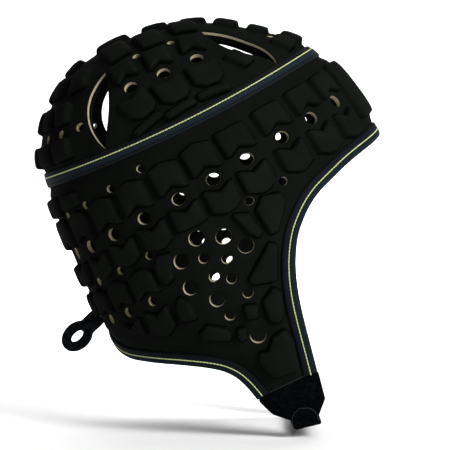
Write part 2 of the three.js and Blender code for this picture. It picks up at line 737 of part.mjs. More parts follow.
// Flat lace folded into a loop that lies in the middle plane, with its ends sewn to the nape.
const LOOP_REACH = 19;      // from the nape's skin to the loop's middle
const LOOP_FALL = 6;        // the loop hangs below its seat by this much
const LOOP_SEAT = 91;       // drop of the sewn end at the nape
const LOOP_HOLE = { long: 9, wide: 4.4 };
const LOOP_STEM = 9;
const LOOP_CLEARANCE = 2.5; // the stem's end keeps this far from the sewn seat

function napeLoop() {
  const seat = onBand(ARC / 2, LOOP_SEAT, GAP * 2 + TAPE);
  const middle = new THREE.Vector2(seat.x - LOOP_REACH, seat.z - LOOP_FALL);
  const way = new THREE.Vector2(seat.x, seat.z).sub(middle);
  const heading = way.angle();
  const shape = new THREE.Shape();
  const spread = Math.asin(LOOP_STEM / 2 / LOOP_RADIUS);
  shape.absarc(0, 0, LOOP_RADIUS, spread, 2 * Math.PI - spread, false);
  const stemEnd = way.length() - LOOP_CLEARANCE;
  shape.lineTo(stemEnd, -LOOP_STEM / 2);
  shape.lineTo(stemEnd, LOOP_STEM / 2);
  const hole = new THREE.Path();
  hole.absellipse(0, 0, LOOP_HOLE.long / 2, LOOP_HOLE.wide / 2, 0, 2 * Math.PI, true, 0);
  shape.holes.push(hole);
  const flat = { depth: LACE_THICKNESS, bevelEnabled: false, curveSegments: 10 };
  const lace = new THREE.ExtrudeGeometry(shape, flat);
  lace.translate(0, 0, -LACE_THICKNESS / 2);
  lace.rotateZ(heading);
  lace.rotateX(Math.PI / 2);
  lace.translate(middle.x, 0, middle.y);
  return lace;
}

const blackFoam = new THREE.MeshStandardMaterial({ color: 0x171816, roughness: 0.75, metalness: 0 });
const navyTape = new THREE.MeshStandardMaterial({ color: 0x12161f, roughness: 0.7, metalness: 0 });
const loopPile = new THREE.MeshStandardMaterial({ color: 0x0c0d12, roughness: 0.95, metalness: 0 });
const wovenLace = new THREE.MeshStandardMaterial({ color: 0x0b0c0e, roughness: 0.85, metalness: 0 });

function piece(name, geometry, material) {
  const mesh = new THREE.Mesh(geometry, material);
  mesh.name = name;
  return mesh;
}

// The head's seat: the highest point inside the tilted crown, on the middle line.
const SEARCH_STEP = 0.5;

function headSeat() {
  const turn = new THREE.Matrix4().makeRotationY(-rad(TILT));
  let highest = null;
  for (let ahead = 0; ahead < CROWN_REACH.front; ahead += SEARCH_STEP) {
    const point = onCrown(ahead, 0, -WALL).applyMatrix4(turn);
    if (!highest || point.z > highest.z) highest = point;
  }
  return highest;
}

const cap = new THREE.Group();
cap.rotation.y = -rad(TILT);
cap.position.copy(headSeat().negate());
cap.add(
  piece('band_panel', bandPanel(), blackFoam),
  piece('crown_panel', crownPanel(), blackFoam),
  piece('seam_tape', seamTape(), navyTape),
  piece('face_binding', binding(faceCurve, FACE_DIVISIONS, true), navyTape),
  piece('neck_binding', binding(neckCurve, NECK_DIVISIONS, false), navyTape),
  piece('chin_tab_right', chinTab(1), loopPile),
  piece('chin_tab_left', chinTab(-1), loopPile),
  piece('chin_strap', chinStrap(), loopPile),
  piece('nape_loop', napeLoop(), wovenLace),
);

const headGuard = new THREE.Group();
headGuard.add(cap);
export default headGuard;
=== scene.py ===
import math

import bpy
import numpy as np
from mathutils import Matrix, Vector
from mathutils.geometry import delaunay_2d_cdt


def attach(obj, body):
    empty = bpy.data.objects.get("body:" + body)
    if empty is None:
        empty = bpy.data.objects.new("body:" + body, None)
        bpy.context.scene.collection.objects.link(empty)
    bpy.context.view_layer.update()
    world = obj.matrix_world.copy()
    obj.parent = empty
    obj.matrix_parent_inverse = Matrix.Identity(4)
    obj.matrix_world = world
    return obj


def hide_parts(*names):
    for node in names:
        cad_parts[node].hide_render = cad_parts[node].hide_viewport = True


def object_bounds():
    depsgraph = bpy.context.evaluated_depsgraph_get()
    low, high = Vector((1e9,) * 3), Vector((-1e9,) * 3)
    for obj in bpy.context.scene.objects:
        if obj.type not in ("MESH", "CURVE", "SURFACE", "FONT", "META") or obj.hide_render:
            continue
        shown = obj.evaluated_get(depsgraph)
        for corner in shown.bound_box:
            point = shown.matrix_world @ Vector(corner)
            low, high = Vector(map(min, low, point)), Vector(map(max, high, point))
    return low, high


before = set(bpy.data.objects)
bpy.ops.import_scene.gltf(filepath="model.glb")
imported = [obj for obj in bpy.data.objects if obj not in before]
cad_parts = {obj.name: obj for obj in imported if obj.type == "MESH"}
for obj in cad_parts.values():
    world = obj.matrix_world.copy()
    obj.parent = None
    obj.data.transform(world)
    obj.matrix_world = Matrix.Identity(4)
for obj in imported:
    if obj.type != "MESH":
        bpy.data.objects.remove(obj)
cad_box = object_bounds()

# Driving sizes, as in the part's source
MM = 0.001
TILT = math.radians(26)     # the seam rises towards the brow by this angle
ARC = 563.0                 # once round the band, measured along its pattern
PERIODS = 24                # block columns once round the band
PERIOD = ARC / PERIODS
WALL = 4.0                  # foam between the blocks
GAP = 0.35                  # clearance between neighbouring pieces
TAPE = 1.0                  # thickness of tape and binding
TAPE_RISE = 4.0             # seam tape above the seam
TAPE_DROP = 6.0             # seam tape below the seam
BINDING_WIDTH = 8.5         # how far a binding laps onto the foam
BINDING_GAP = 0.6           # slack between a binding's leaves and the foam
SLOT_WIDTH = 15.0           # widest part of a crown slot
SLOT_FOOT = 4.6             # a slot starts this far above the seam
TAB_EDGE = 175.5            # drop at which the foam ends and the chin tab begins
SEAM_DIP = 6.0              # the seam hangs lower over the ears
DIP_FADE = 60.0
OVAL = 0.05                 # the form is narrower in front than behind
CROWDING = 0.023            # columns stand this much closer over the ear

# Level sections of the band's outer skin: drop below the seam, rear reach, front reach, half width
BAND_SECTIONS = (
    (0, -90.5, 92.5, 73),
    (18, -92.5, 99.5, 76.5),
    (38, -94, 104, 78),
    (62, -95.5, 107, 78.5),
    (90, -96.5, 107.5, 77),
    (120, -97, 106, 73),
    (150, -93, 104, 66),
    (180, -91, 102, 56.5),
    (216, -89, 100, 44),
)

# Level sections of the crown, evenly spaced from the seam to the apex: rise, rear, front, half width
CROWN_SECTIONS = (
    (0, -90.5, 92.5, 73),
    (12, -87, 81.5, 70.5),
    (22, -81, 68.5, 66),
    (32, -73, 56, 58.5),
    (41, -62, 42, 48),
    (48, -50, 24, 34.5),
    (52.5, -37, 6, 19.5),
    (54.5, -16, -16, 0),
)

# Way from the apex to the seam over the crown, in front, at the side and behind
CROWN_REACH = (125, 107, 100)

# Lower edge of the band on one side, as places along the pattern and drops
FACE_EDGE = (
    (0, 66), (54, 70), (81, 75.5), (97, 81.5), (110, 92), (118, 104), (124.5, 120.5), (131, 144.5),
    (137, TAB_EDGE),
)
NECK_EDGE = (
    (177, TAB_EDGE), (179.5, 164.5), (183.5, 155.5), (191.5, 147.5), (209, 137.5), (231, 128.5),
    (250, 122.5), (266, 116.5), (ARC / 2, 110),
)

# Block rows of the band, as the outlines of their tops. Drops are given at the brow, over the ear and at
# the nape. peak and notch bend the middle of the top and bottom edges down. Columns count from the brow,
# where column 0 is one wide smooth pad.
BAND_ROWS = (
    {"top": (12, 12, 14), "bottom": (10.5, 10.5, 25), "peak": 0, "notch": 0, "half": 8.2,
     "columns": (10, 11, 12)},
    {"top": (15.5, 18.5, 30), "bottom": (29.5, 36, 46.5), "peak": 0, "notch": -5, "half": 8.3,
     "columns": (2, 3, 4.05, 5.15)},
    {"top": (15.5, 18.5, 30), "bottom": (29.5, 36, 46.5), "peak": -2.5, "notch": -5, "half": 8.1,
     "columns": (6.08, 7, 8, 8.95, 9.95, 11, 12)},
    {"top": (41, 47, 57), "bottom": (56, 61.5, 67.5), "peak": 5, "notch": 4, "half": 8.1,
     "columns": (2.08, 3.08, 4.08, 5.15, 6.06, 7.9, 8.83, 9.8, 10.85, 12)},
    {"top": (41, 47, 57), "bottom": (56, 61.5, 67.5), "peak": 5, "notch": 0.8, "half": 8.1,
     "columns": (6.98,)},
    {"top": (14, 14, 14), "bottom": (51, 51, 51), "peak": 0, "notch": 0, "half": 31.5,
     "columns": (0,)},
    {"top": (75, 75, 79), "bottom": (88, 89, 91), "peak": -4, "notch": -4, "half": 7.8,
     "columns": (8.74, 9.61, 10.5, 11.4)},
)

# Hole rows of the band: drops as above, size and columns
BAND_HOLES = (
    {"drop": (33, 42, 50), "size": 8, "columns": (2, 3.08, 4.08, 5.12, 6.05, 7, 8, 9, 10, 11, 12)},
    {"drop": (90, 92, 95.5), "size": 6, "columns": (8.76, 9.68, 10.6)},
    {"drop": (-10, 9, 28), "size": 5, "columns": (7.5, 8.5, 9.5, 10.5, 11.5)},
    {"drop": (60, 65, 71.5), "size": 5, "columns": (8.3, 9.3, 10.33, 11.43)},
    {"drop": (58, 65.5, 71.5), "size": 5, "columns": (4.62, 5.54)},
)

# Holes over the ear and on the cheek: place along, drop, size
EAR_HOLES = (
    (165, 71, 9), (151, 77, 9), (142, 87.5, 9), (178.5, 79.5, 9), (180, 96, 9), (168.5, 109, 9),
    (158, 139.5, 9), (166, 83.5, 6), (154.5, 89.5, 6), (165, 96, 6), (156.5, 101.5, 6),
    (151.5, 113.5, 6), (166, 121, 6),
)

# Free-form blocks on the ear flap and cheek, as the corners of their tops in place along and drop
CHEEK_BLOCKS = (
    ((141.5, 67.5), (134, 71), (132, 84.5), (134, 86), (137.5, 82)),
    ((123, 65.5), (114, 68.5), (113, 73.5), (123.5, 87.5), (127.5, 87.5), (129, 71)),
    ((130.5, 92), (127.5, 94.5), (134.5, 113.5), (147, 109.5), (148, 106.5)),
    ((138, 117), (135.5, 121.5), (139.5, 133.5), (144.5, 137), (147.5, 133), (146, 121.5)),
    ((156.5, 119), (150, 122), (153, 128.5), (158, 126.5)),
    ((143.5, 142.5), (142, 150), (146.5, 168.5), (160, 166), (163, 161.5), (164, 153.5), (162, 149),
     (157, 150.5), (151, 144)),
    ((180, 120.5), (172, 126.5), (170.5, 130.5), (172.5, 134), (186, 127), (186, 123)),
    ((165.5, 130), (161.5, 131.5), (164, 137), (167, 138), (167.5, 134)),
    ((189, 70.5), (182, 72.5), (182.5, 76.5), (186.5, 86), (191, 88), (193.5, 83.5), (193, 75.5)),
    ((188, 98), (184, 103), (183.5, 114), (192.5, 111.5), (191.5, 102.5)),
    ((213, 99), (205.5, 103), (197.5, 99.5), (197, 112), (204, 116), (213, 112.5)),
    ((234, 100.5), (227, 104), (219, 100), (218.5, 110.5), (233.5, 104)),
)

# Side arms of the crown: places of the columns along X; rows of tops from and to a rise above the seam,
# half width, cut of the lower corners, and dents of the lower and upper edges
SIDE_COLUMNS = (-16.5, 4.5, 26)
SIDE_ROWS = (
    (6.5, 10.5, 9.4, 0, 0, 0),
    (13.5, 32, 8.3, 4.5, 0, 3),
    (44.5, 60, 6.9, 0, 4.5, 0),
    (66.5, 87, 6.9, 0, 0, 0),
)

# Rear and front arms of the crown: rows from and to a rise, block width, column angles from the front
ARM_ROWS = (
    (6.5, 22.5, 19, (142.5, 157.5, 172.5)),
    (30.5, 47, 16, (140, 155, 171.5)),
    (51.5, 69, 17, (130, 155, 180)),
    (7, 23, 16.5, (7.5, 23)),
    (30, 46, 17, (9,)),
    (51, 68, 16.5, (11,)),
    (12.5, 30, 12.5, (51,)),
)

# Blocks on the middle line of the crown: places ahead of the apex, width and length
RIDGE_BLOCKS = (-22, 0, 22, 44)
RIDGE_SIZE = (20, 16.5)

# Holes of the crown: on the side arms by rise, size and places along X, on the others by angle
SIDE_HOLES = ((39, 8, SIDE_COLUMNS), (63.8, 4.5, (-6, 16)))
ARM_HOLES = ((26, 6, (129, 142.5, 157.5, 172.5)), (26, 6, (0, 16)), (48, 6, (0,)))

# The two pointed slots on each side of the crown: foot angle, tip angle, tip rise
SLOTS = ((121, 109, 60), (40, 38, 63))

# Section of a moulded block up to the edge of its top: way out from that edge, height, and painted
# shade, darkest in the crease at the foot
BLOCK_PROFILE = (
    (3.0, 0.0, 0.5), (2.5, 0.12, 0.05), (2.0, 0.55, 0.0), (1.6, 1.3, 0.0), (1.2, 2.2, 0.1),
    (0.8, 3.05, 0.3), (0.4, 3.7, 0.6), (0.0, 4.2, 0.9),
)

# Crowned top of a block: share of the top's outline, height
BLOCK_TOP = ((0.94, 4.7), (0.86, 5.1), (0.72, 5.4), (0.4, 5.6))
BLOCK_HEIGHT = 5.6
BLOCK_CORNER = 2.2
BLOCK_CORNER_SHARE = 0.25   # most that a corner takes of a block's smaller side

# Shares of the block section's ways out: sideways, and up and down
ROW_SLOPE = (1.2, 0.52)
CHEEK_SLOPE = (0.6, 0.6)
CROWN_SLOPE = (0.9, 0.55)

# Section of a punched hole: way out from the wall of the hole, and height
HOLE_RIM = ((0.8, 0.0), (0.3, -0.12), (0.05, -0.45))
HOLE_WALL = ((0.0, -0.7), (0.0, -1.3), (0.0, -2.1))
SLOT_WALL = ((0.0, -0.6), (0.0, -1.0), (0.0, -1.5))
HOLE_INSIDE = ((0.1, -3.75), (0.8, -WALL))


# Shape of the head form

def smooth_table(places, rows):
    """Smooth curve through a table's rows, level beyond both ends."""
    places = np.asarray(places, float)
    rows = np.asarray(rows, float)
    steps = np.diff(rows, axis=0) / np.diff(places)[:, None]
    slopes = np.vstack([steps[:1], (steps[:-1] + steps[1:]) / 2, steps[-1:]])

    def value(at):
        at = np.clip(at, places[0], places[-1])
        row = np.clip(np.searchsorted(places, at, side="right") - 1, 0, len(places) - 2)
        width = (places[row + 1] - places[row])[:, None]
        gone = (at - places[row])[:, None] / width
        left = 1 - gone
        start = (1 + 2 * gone) * left ** 2 * rows[row] + gone * left ** 2 * width * slopes[row]
        end = gone * gone * (3 - 2 * gone) * rows[row + 1] - gone * gone * left * width * slopes[row + 1]
        return start + end

    return value


band_section = smooth_table([row[0] for row in BAND_SECTIONS], [row[1:] for row in BAND_SECTIONS])

apex_first = CROWN_SECTIONS[::-1]
rise, back, front, half = apex_first[1]
crown_rows = ((rise, front, back, -half),) + apex_first
crown_section = smooth_table((np.arange(len(crown_rows)) - 1) / (len(CROWN_SECTIONS) - 1), crown_rows)


def around(values, angle):
    """A value that changes smoothly from the brow over the ear to the nape."""
    front, side, back = values
    ahead = np.cos(angle)
    return side + (front - back) / 2 * ahead + ((front + back) / 2 - side) * ahead ** 2


def band_angle(along):
    even = 2 * math.pi * along / ARC
    return even + CROWDING * np.sin(2 * even)


def oval(back, front, half, angle, height):
    """Points of oval sections, the right side at positive angles."""
    x = (front + back) / 2 + (front - back) / 2 * np.cos(angle)
    y = -half * np.sin(angle) * (1 - OVAL * np.cos(angle))
    return np.stack([x, y, height], axis=-1)


def band_skin(along, drop):
    angle = band_angle(along)
    dip = SEAM_DIP * np.sin(angle) ** 2 * np.maximum(0, 1 - drop / DIP_FADE)
    back, front, half = band_section(drop).T
    return oval(back, front, half, angle, -drop - dip)


def crown_skin(ahead, right):
    angle = np.arctan2(right, ahead)
    far = np.hypot(ahead, right) / around(CROWN_REACH, angle)
    rise, back, front, half = crown_section(far).T
    return oval(back, front, half, angle, rise - SEAM_DIP * (np.sin(angle) * far) ** 2)


SKIN_STEP = 0.4
ANGLE_STEP = 0.01


def unit(vectors):
    return vectors / np.linalg.norm(vectors, axis=-1, keepdims=True)


def normals(skin, first, second):
    """Directions square to a skin, from short steps on it."""
    across = skin(first + SKIN_STEP, second) - skin(first - SKIN_STEP, second)
    down = skin(first, second + SKIN_STEP) - skin(first, second - SKIN_STEP)
    return unit(np.cross(across, down))


def seam_outward(angle):
    """Level direction out of the seam."""
    back, front, half = (np.full_like(angle, value) for value in BAND_SECTIONS[0][1:])
    level = np.zeros_like(angle)
    ahead, behind = (oval(back, front, half, angle + step, level) for step in (ANGLE_STEP, -ANGLE_STEP))
    return unit(np.cross(ahead - behind, (0.0, 0.0, -1.0)))


def ease(share):
    """Share from 0 to 1 that starts and ends gently, as a column."""
    share = np.clip(share, 0, 1)
    return (share * share * (3 - 2 * share))[:, None]


SEAM_BLEND = 6.0


def on_band(along, drop, lift):
    """Points off the band's skin; close to the seam they stand off level, so both panels meet."""
    along, drop, lift = (np.asarray(value, float) for value in np.broadcast_arrays(along, drop, lift))
    share = ease(drop / SEAM_BLEND)
    way = unit(seam_outward(band_angle(along)) * (1 - share) + normals(band_skin, along, drop) * share)
    return band_skin(along, drop) + way * lift[:, None]


def on_crown(ahead, right, lift):
    """Points off the crown's skin."""
    given = np.broadcast_arrays(ahead, right, lift)
    ahead, right, lift = (np.asarray(value, float) for value in given)
    angle = np.arctan2(right, ahead)
    share = ease((around(CROWN_REACH, angle) - np.hypot(ahead, right)) / SEAM_BLEND)
    way = unit(seam_outward(angle) * (1 - share) - normals(crown_skin, ahead, right) * share)
    return crown_skin(ahead, right) + way * lift[:, None]


def tilted(points):
    """Points of the upright form, tilted as worn."""
    x, y, z = np.asarray(points, float).T
    cos, sin = math.cos(TILT), math.sin(TILT)
    return np.stack([x * cos - z * sin, y, x * sin + z * cos], axis=-1)


RIDGE_STEP = 0.5
ridge = np.arange(0, CROWN_REACH[0], RIDGE_STEP)
under_ridge = tilted(crown_skin(ridge, ridge * 0) + normals(crown_skin, ridge, ridge * 0) * WALL)
HEAD_SEAT = under_ridge[np.argmax(under_ridge[:, 2])]


def in_part(points):
    """Points of the upright form, moved to the part's frame in metres."""
    return (tilted(points) - HEAD_SEAT) * MM


def crown_spot(angle, rise):
    """Flat crown place at an angle from the front and a rise above the seam."""
    far = around(CROWN_REACH, angle) - rise
    return np.array([far * math.cos(angle), far * math.sin(angle)])


HALVINGS = 30
AT_APEX = 1.0


def angle_at_x(x, rise):
    """Angle from the front of the crown place with this X and rise."""
    low, high = 0.0, math.pi
    for _ in range(HALVINGS):
        middle = (low + high) / 2
        spot = crown_spot(middle, rise)
        if crown_skin(spot[:1], spot[1:])[0, 0] > x:
            low = middle
        else:
            high = middle
    return (low + high) / 2


def crown_frame(spot, up):
    """Turns block lengths across and up into flat crown lengths, which are stretched round the apex."""
    turn = np.array([[-up[1], up[0]], [up[0], up[1]]]).T
    if np.hypot(*spot) < AT_APEX:
        return turn
    out = unit(spot)
    side = np.array([-out[1], out[0]])
    ends = np.array([spot + side, spot - side])
    skin = crown_skin(ends[:, 0], ends[:, 1])
    stretch = 2 / np.linalg.norm(skin[0] - skin[1])
    return (np.outer(out, out) + stretch * np.outer(side, side)) @ turn


# Flat outlines

def outline_normals(outline):
    """Outward normals of each side of a closed outline, the sides before and after each corner."""
    ways = unit(np.roll(outline, -1, axis=0) - outline)
    after = np.stack([ways[:, 1], -ways[:, 0]], axis=-1)
    return np.roll(after, 1, axis=0), after


def runs_left(outline):
    """Whether a closed outline runs anticlockwise."""
    x, y = outline.T
    return np.sum(x * np.roll(y, -1) - np.roll(x, -1) * y) > 0


def anticlockwise(outline):
    outline = np.asarray(outline, float)
    return outline if runs_left(outline) else outline[::-1]


def turned_left(points, ring):
    """Ring of point numbers, turned to run anticlockwise."""
    return ring if runs_left(points[ring]) else ring[::-1]


def moved_out(outline, distance):
    """Outline whose sides are moved outwards, by one distance or by one at each corner."""
    before, after = outline_normals(outline)
    shift = distance / (1 + np.sum(before * after, axis=1))
    return outline + shift[:, None] * (before + after)


CORNER_STEPS = 4
NO_TURN = 1e-6              # keeps the division at straight corners from failing
CORNER_LOSS = 1.2           # most that rounding takes off a corner
DENT_TURN = 0.05            # corners that turn less than this stay sharp
SIDE_STEP = 3.0
HOLE_SIDES = 20
CURVE_STEPS = 60


def block_rings(outline, corner, ways_in):
    """Rings of a rounded outline at several ways in, all with the same number of points."""
    before, after = outline_normals(outline)
    turn = before[:, 0] * after[:, 1] - before[:, 1] * after[:, 0]
    half_turn = np.sqrt((1 + np.sum(before * after, axis=1)) / 2)
    corner = np.minimum(corner, CORNER_LOSS * half_turn / (1 - half_turn + NO_TURN))
    corner_middle = moved_out(outline, -corner)
    sides = np.linalg.norm(np.roll(outline, -1, axis=0) - outline, axis=1)
    rings = []
    for way_in in ways_in:
        inner = moved_out(outline, -way_in)
        groups = []
        for i in range(len(outline)):
            if turn[i] < DENT_TURN:
                groups.append(inner[i:i + 1])
                continue
            start = math.atan2(before[i, 1], before[i, 0])
            sweep = math.asin(min(1, turn[i]))
            if before[i] @ after[i] < 0:
                sweep = math.pi - sweep
            angles = start + sweep * np.linspace(0, 1, CORNER_STEPS + 1)
            arc = np.stack([np.cos(angles), np.sin(angles)], axis=-1)
            groups.append(corner_middle[i] + (corner[i] - way_in) * arc)
        ring = []
        for i, group in enumerate(groups):
            follower = groups[(i + 1) % len(groups)][0]
            count = max(1, round((sides[i] - corner[i]) / SIDE_STEP))
            between = np.linspace(group[-1], follower, count + 1)[1:-1]
            ring.extend([group, between])
        rings.append(np.vstack(ring))
    return rings


def circle(size):
    turn = 2 * math.pi * np.arange(HOLE_SIDES) / HOLE_SIDES
    return size / 2 * np.stack([np.cos(turn), np.sin(turn)], axis=-1)


def spline(points, count):
    """Evenly spaced points on a smooth curve through a few points."""
    points = np.asarray(points, float)
    padded = np.vstack([points[:1], points, points[-1:]])
    fine = []
    gone = np.linspace(0, 1, CURVE_STEPS, endpoint=False)[:, None]
    for i in range(len(points) - 1):
        before, start, end, after = padded[i:i + 4]
        start_way, end_way = (end - before) / 2, (after - start) / 2
        cube = 2 * start - 2 * end + start_way + end_way
        square = 3 * end - 3 * start - 2 * start_way - end_way
        fine.append(cube * gone ** 3 + square * gone ** 2 + start_way * gone + start)
    return evenly(np.vstack(fine + [points[-1:]]), count)


def lengths_along(path):
    """Length walked at each point of a path."""
    return np.concatenate([[0], np.cumsum(np.linalg.norm(np.diff(path, axis=0), axis=1))])


def at_lengths(path, walked, lengths):
    """Values of a path's rows at given lengths along it."""
    return np.stack([np.interp(lengths, walked, column) for column in path.T], axis=-1)


def evenly(path, count):
    """Points at even steps along a path."""
    walked = lengths_along(path)
    return at_lengths(path, walked, np.linspace(0, walked[-1], count))


def moved_in(path, distance):
    """Open path moved to the left of its way, up into the foam."""
    ways = unit(np.gradient(path, axis=0))
    return path + distance * np.stack([ways[:, 1], -ways[:, 0]], axis=-1)


# Materials

def linear(code):
    """Linear colour of an sRGB hex value."""
    colour = []
    for first in (0, 2, 4):
        value = int(code[first:first + 2], 16) / 255
        colour.append(value / 12.92 if value <= 0.04045 else ((value + 0.055) / 1.055) ** 2.4)
    return colour + [1.0]


def add_node(tree, kind, settings, links=()):
    """Adds a node, sets its inputs or properties, and links its inputs to other nodes' outputs."""
    made = tree.nodes.new(kind)
    for name, value in settings.items():
        if isinstance(name, int) or name in made.inputs:
            made.inputs[name].default_value = value
        else:
            setattr(made, name, value)
    for socket, source in links:
        tree.links.new(source, made.inputs[socket])
    return made


def new_material(name, settings):
    material = bpy.data.materials.new(name)
    material.use_nodes = True
    shader = material.node_tree.nodes["Principled BSDF"]
    for socket, value in settings.items():
        shader.inputs[socket].default_value = value
    return material, material.node_tree, shader


UV_MM = 0.01                # length of a millimetre on the cloth map


def grain_scale(size):
    """Scale of a noise or cell texture in space with grains of this size in millimetres."""
    return 1 / (size * MM)


def wave_scale(period):
    """Scale of a wave texture on the cloth map with bands at this distance in millimetres."""
    return math.pi / (10 * period * UV_MM)


def grains(tree, size, detail=2.0, roughness=0.5):
    """Noise in space with grains of this size in millimetres."""
    place = add_node(tree, "ShaderNodeTexCoord", {})
    settings = {"Scale": grain_scale(size), "Detail": detail, "Roughness": roughness}
    noise = add_node(tree, "ShaderNodeTexNoise", settings, [("Vector", place.outputs["Object"])])
    return noise.outputs["Fac"]


def threads(tree, direction, period, distortion=0.0):
    """Bands on the cloth map at this distance in millimetres."""
    cloth = add_node(tree, "ShaderNodeUVMap", {"uv_map": "cloth"})
    settings = {"wave_type": "BANDS", "bands_direction": direction, "Scale": wave_scale(period),
                "Distortion": distortion}
    wave = add_node(tree, "ShaderNodeTexWave", settings, [("Vector", cloth.outputs["UV"])])
    return wave.outputs["Fac"]


def blended(tree, first, second, share):
    """Height between those of two textures."""
    settings = {"data_type": "FLOAT", "Factor": share}
    mix = add_node(tree, "ShaderNodeMix", settings, [("A", first), ("B", second)])
    return mix.outputs["Result"]


def two_tones(tree, shader, shaded, lit, factor):
    """Lets a texture choose the base colour between two tones."""
    settings = {"data_type": "RGBA", "A": linear(shaded), "B": linear(lit)}
    mix = add_node(tree, "ShaderNodeMix", settings, [("Factor", factor)])
    tree.links.new(mix.outputs["Result"], shader.inputs["Base Color"])


def graded(tree, factor, stops):
    """Colour from a few tones at given positions of a factor."""
    made = add_node(tree, "ShaderNodeValToRGB", {}, [("Fac", factor)])
    elements = made.color_ramp.elements
    elements.remove(elements[1])
    elements[0].position = stops[0][0]
    elements[0].color = linear(stops[0][1])
    for position, code in stops[1:]:
        elements.new(position).color = linear(code)
    return made.outputs["Color"]


def bumped(tree, shader, height, strength, depth):
    """Lets a height texture of this depth in millimetres tilt the shading."""
    bump = add_node(tree, "ShaderNodeBump", {"Strength": strength, "Distance": depth * MM},
                    [("Height", height)])
    tree.links.new(bump.outputs["Normal"], shader.inputs["Normal"])


def knit_laminate():
    """Knitted nylon laminated on foam: matte black with a green cast, upright wales and a faint
    cloudiness.
    Its shade attribute paints deep black shade into the creases at the blocks' feet, and a slightly
    lighter tone on the tops of the blocks that is partly rubbed wear and partly painted light."""
    finish = {"Roughness": 0.85, "Specular IOR Level": 0.008}
    material, tree, shader = new_material("knit_faced_foam", finish)
    shade = add_node(tree, "ShaderNodeAttribute", {"attribute_name": "shade"})
    # Painted shade from the shade attribute: near black in the creases, the skin's tone, slightly
    # lighter tops
    tones = ((0.0, "020302"), (0.5, "0c0e0c"), (1.0, "0e100e"))
    tone = graded(tree, shade.outputs["Fac"], tones)
    clouds = add_node(tree, "ShaderNodeMapRange", {"To Min": 0.6, "To Max": 1.4},
                      [("Value", grains(tree, 22.2, detail=4.0))])
    cloudy = add_node(tree, "ShaderNodeHueSaturation", {},
                      [("Color", tone), ("Value", clouds.outputs["Result"])])
    tree.links.new(cloudy.outputs["Color"], shader.inputs["Base Color"])
    # The real wales are 0.7 mm apart, under one pixel, so they are drawn at twice that
    wales = threads(tree, "X", 1.4, distortion=0.4)
    bumped(tree, shader, blended(tree, grains(tree, 1.11), wales, 0.5), 0.3, 0.2)
    return material


def cut_foam():
    """Cut polyurethane foam: greyed cream, open cells, fully matte."""
    finish = {"Roughness": 0.95, "Specular IOR Level": 0.02}
    material, tree, shader = new_material("cut_cream_foam", finish)
    place = add_node(tree, "ShaderNodeTexCoord", {})
    cells = add_node(tree, "ShaderNodeTexVoronoi", {"Scale": grain_scale(0.625)},
                     [("Vector", place.outputs["Object"])])
    two_tones(tree, shader, "a89e86", "7c735d", cells.outputs["Distance"])
    bumped(tree, shader, cells.outputs["Distance"], 0.4, 0.2)
    return material


def woven_tape(name, stripes_and_sheen):
    """Woven polyester tape: blue-black with lengthwise stripes, the lighter navy bands among them a
    painted satin sheen, and fine cross ribs.
    """
    material, tree, shader = new_material(name, {"Roughness": 0.7, "Specular IOR Level": 0.03})
    cloth = add_node(tree, "ShaderNodeUVMap", {"uv_map": "cloth"})
    parts = add_node(tree, "ShaderNodeSeparateXYZ", {}, [("Vector", cloth.outputs["UV"])])
    stops = [(place * UV_MM, code) for place, code in stripes_and_sheen]
    tree.links.new(graded(tree, parts.outputs["Y"], stops), shader.inputs["Base Color"])
    # The real ribs are 0.5 mm apart, under one pixel, so they are drawn at 1.5 mm
    weave = blended(tree, threads(tree, "X", 1.5), threads(tree, "Y", 1.1), 0.4)
    bumped(tree, shader, weave, 0.5, 0.3)
    return material


def sewing_thread(name, shaded, lit):
    """Twisted polyester thread: painted shaded and lit tones mixed by fine noise along its twist,
    with a soft sheen.
    """
    material, tree, shader = new_material(name, {"Roughness": 0.6, "Specular IOR Level": 0.1})
    two_tones(tree, shader, shaded, lit, grains(tree, 0.714, detail=1.0))
    return material


def loop_pile():
    """Brushed nylon loop pile: blue-black and fuzzy, with clumped tufts and almost no gloss."""
    finish = {"Roughness": 0.95, "Specular IOR Level": 0.01}
    material, tree, shader = new_material("brushed_loop_pile", finish)
    tufts = grains(tree, 2.38, detail=4.0, roughness=0.7)
    tone = graded(tree, tufts, ((0.3, "010102"), (0.5, "040506"), (0.7, "0a0b0d")))
    tree.links.new(tone, shader.inputs["Base Color"])
    bumped(tree, shader, tufts, 1.0, 1.2)
    return material


def woven_lace():
    """Flat woven polyester lace: black with a blue cast and slanting ribs of thread, the ribs painted in
    a lit tone and the grooves between them in a painted shaded tone.
    """
    finish = {"Roughness": 0.75, "Specular IOR Level": 0.02}
    material, tree, shader = new_material("woven_black_lace", finish)
    weave = threads(tree, "DIAGONAL", 3.0)
    two_tones(tree, shader, "060708", "14181b", weave)
    bumped(tree, shader, weave, 0.6, 0.4)
    return material


# Stripes of the tapes: way in from the border of the weave, and colour. The lighter navy bands are a
# painted satin sheen.
SEAM_STRIPES_AND_SHEEN = ((0.0, "0b0d0e"), (0.6, "14181a"), (1.3, "14181a"), (1.7, "090b0d"), (2.2, "090b0d"),
                (2.7, "131b22"), (5.2, "161e25"), (5.8, "0c0f11"), (10.0, "0e1011"))
EDGE_STRIPES_AND_SHEEN = ((0.0, "0a0b0d"), (1.0, "0c0e12"), (3.2, "0e131a"), (3.8, "090b0e"), (5.2, "090b0e"),
                (5.8, "10181d"), (8.5, "11191e"), (9.5, "0a0c0e"))

LAMINATE = knit_laminate()
CUT_FOAM = cut_foam()
SEAM_WEAVE = woven_tape("navy_seam_tape", SEAM_STRIPES_AND_SHEEN)
EDGE_WEAVE = woven_tape("navy_edge_tape", EDGE_STRIPES_AND_SHEEN)
LIME = sewing_thread("pale_lime_thread", "8f9866", "b5bd8a")
GREY_THREAD = sewing_thread("grey_sewing_thread", "131518", "25282b")
PILE = loop_pile()
LACE = woven_lace()


# Making of pieces

MERGE_REACH = 1e-6
SHARP_ANGLE = math.radians(50)


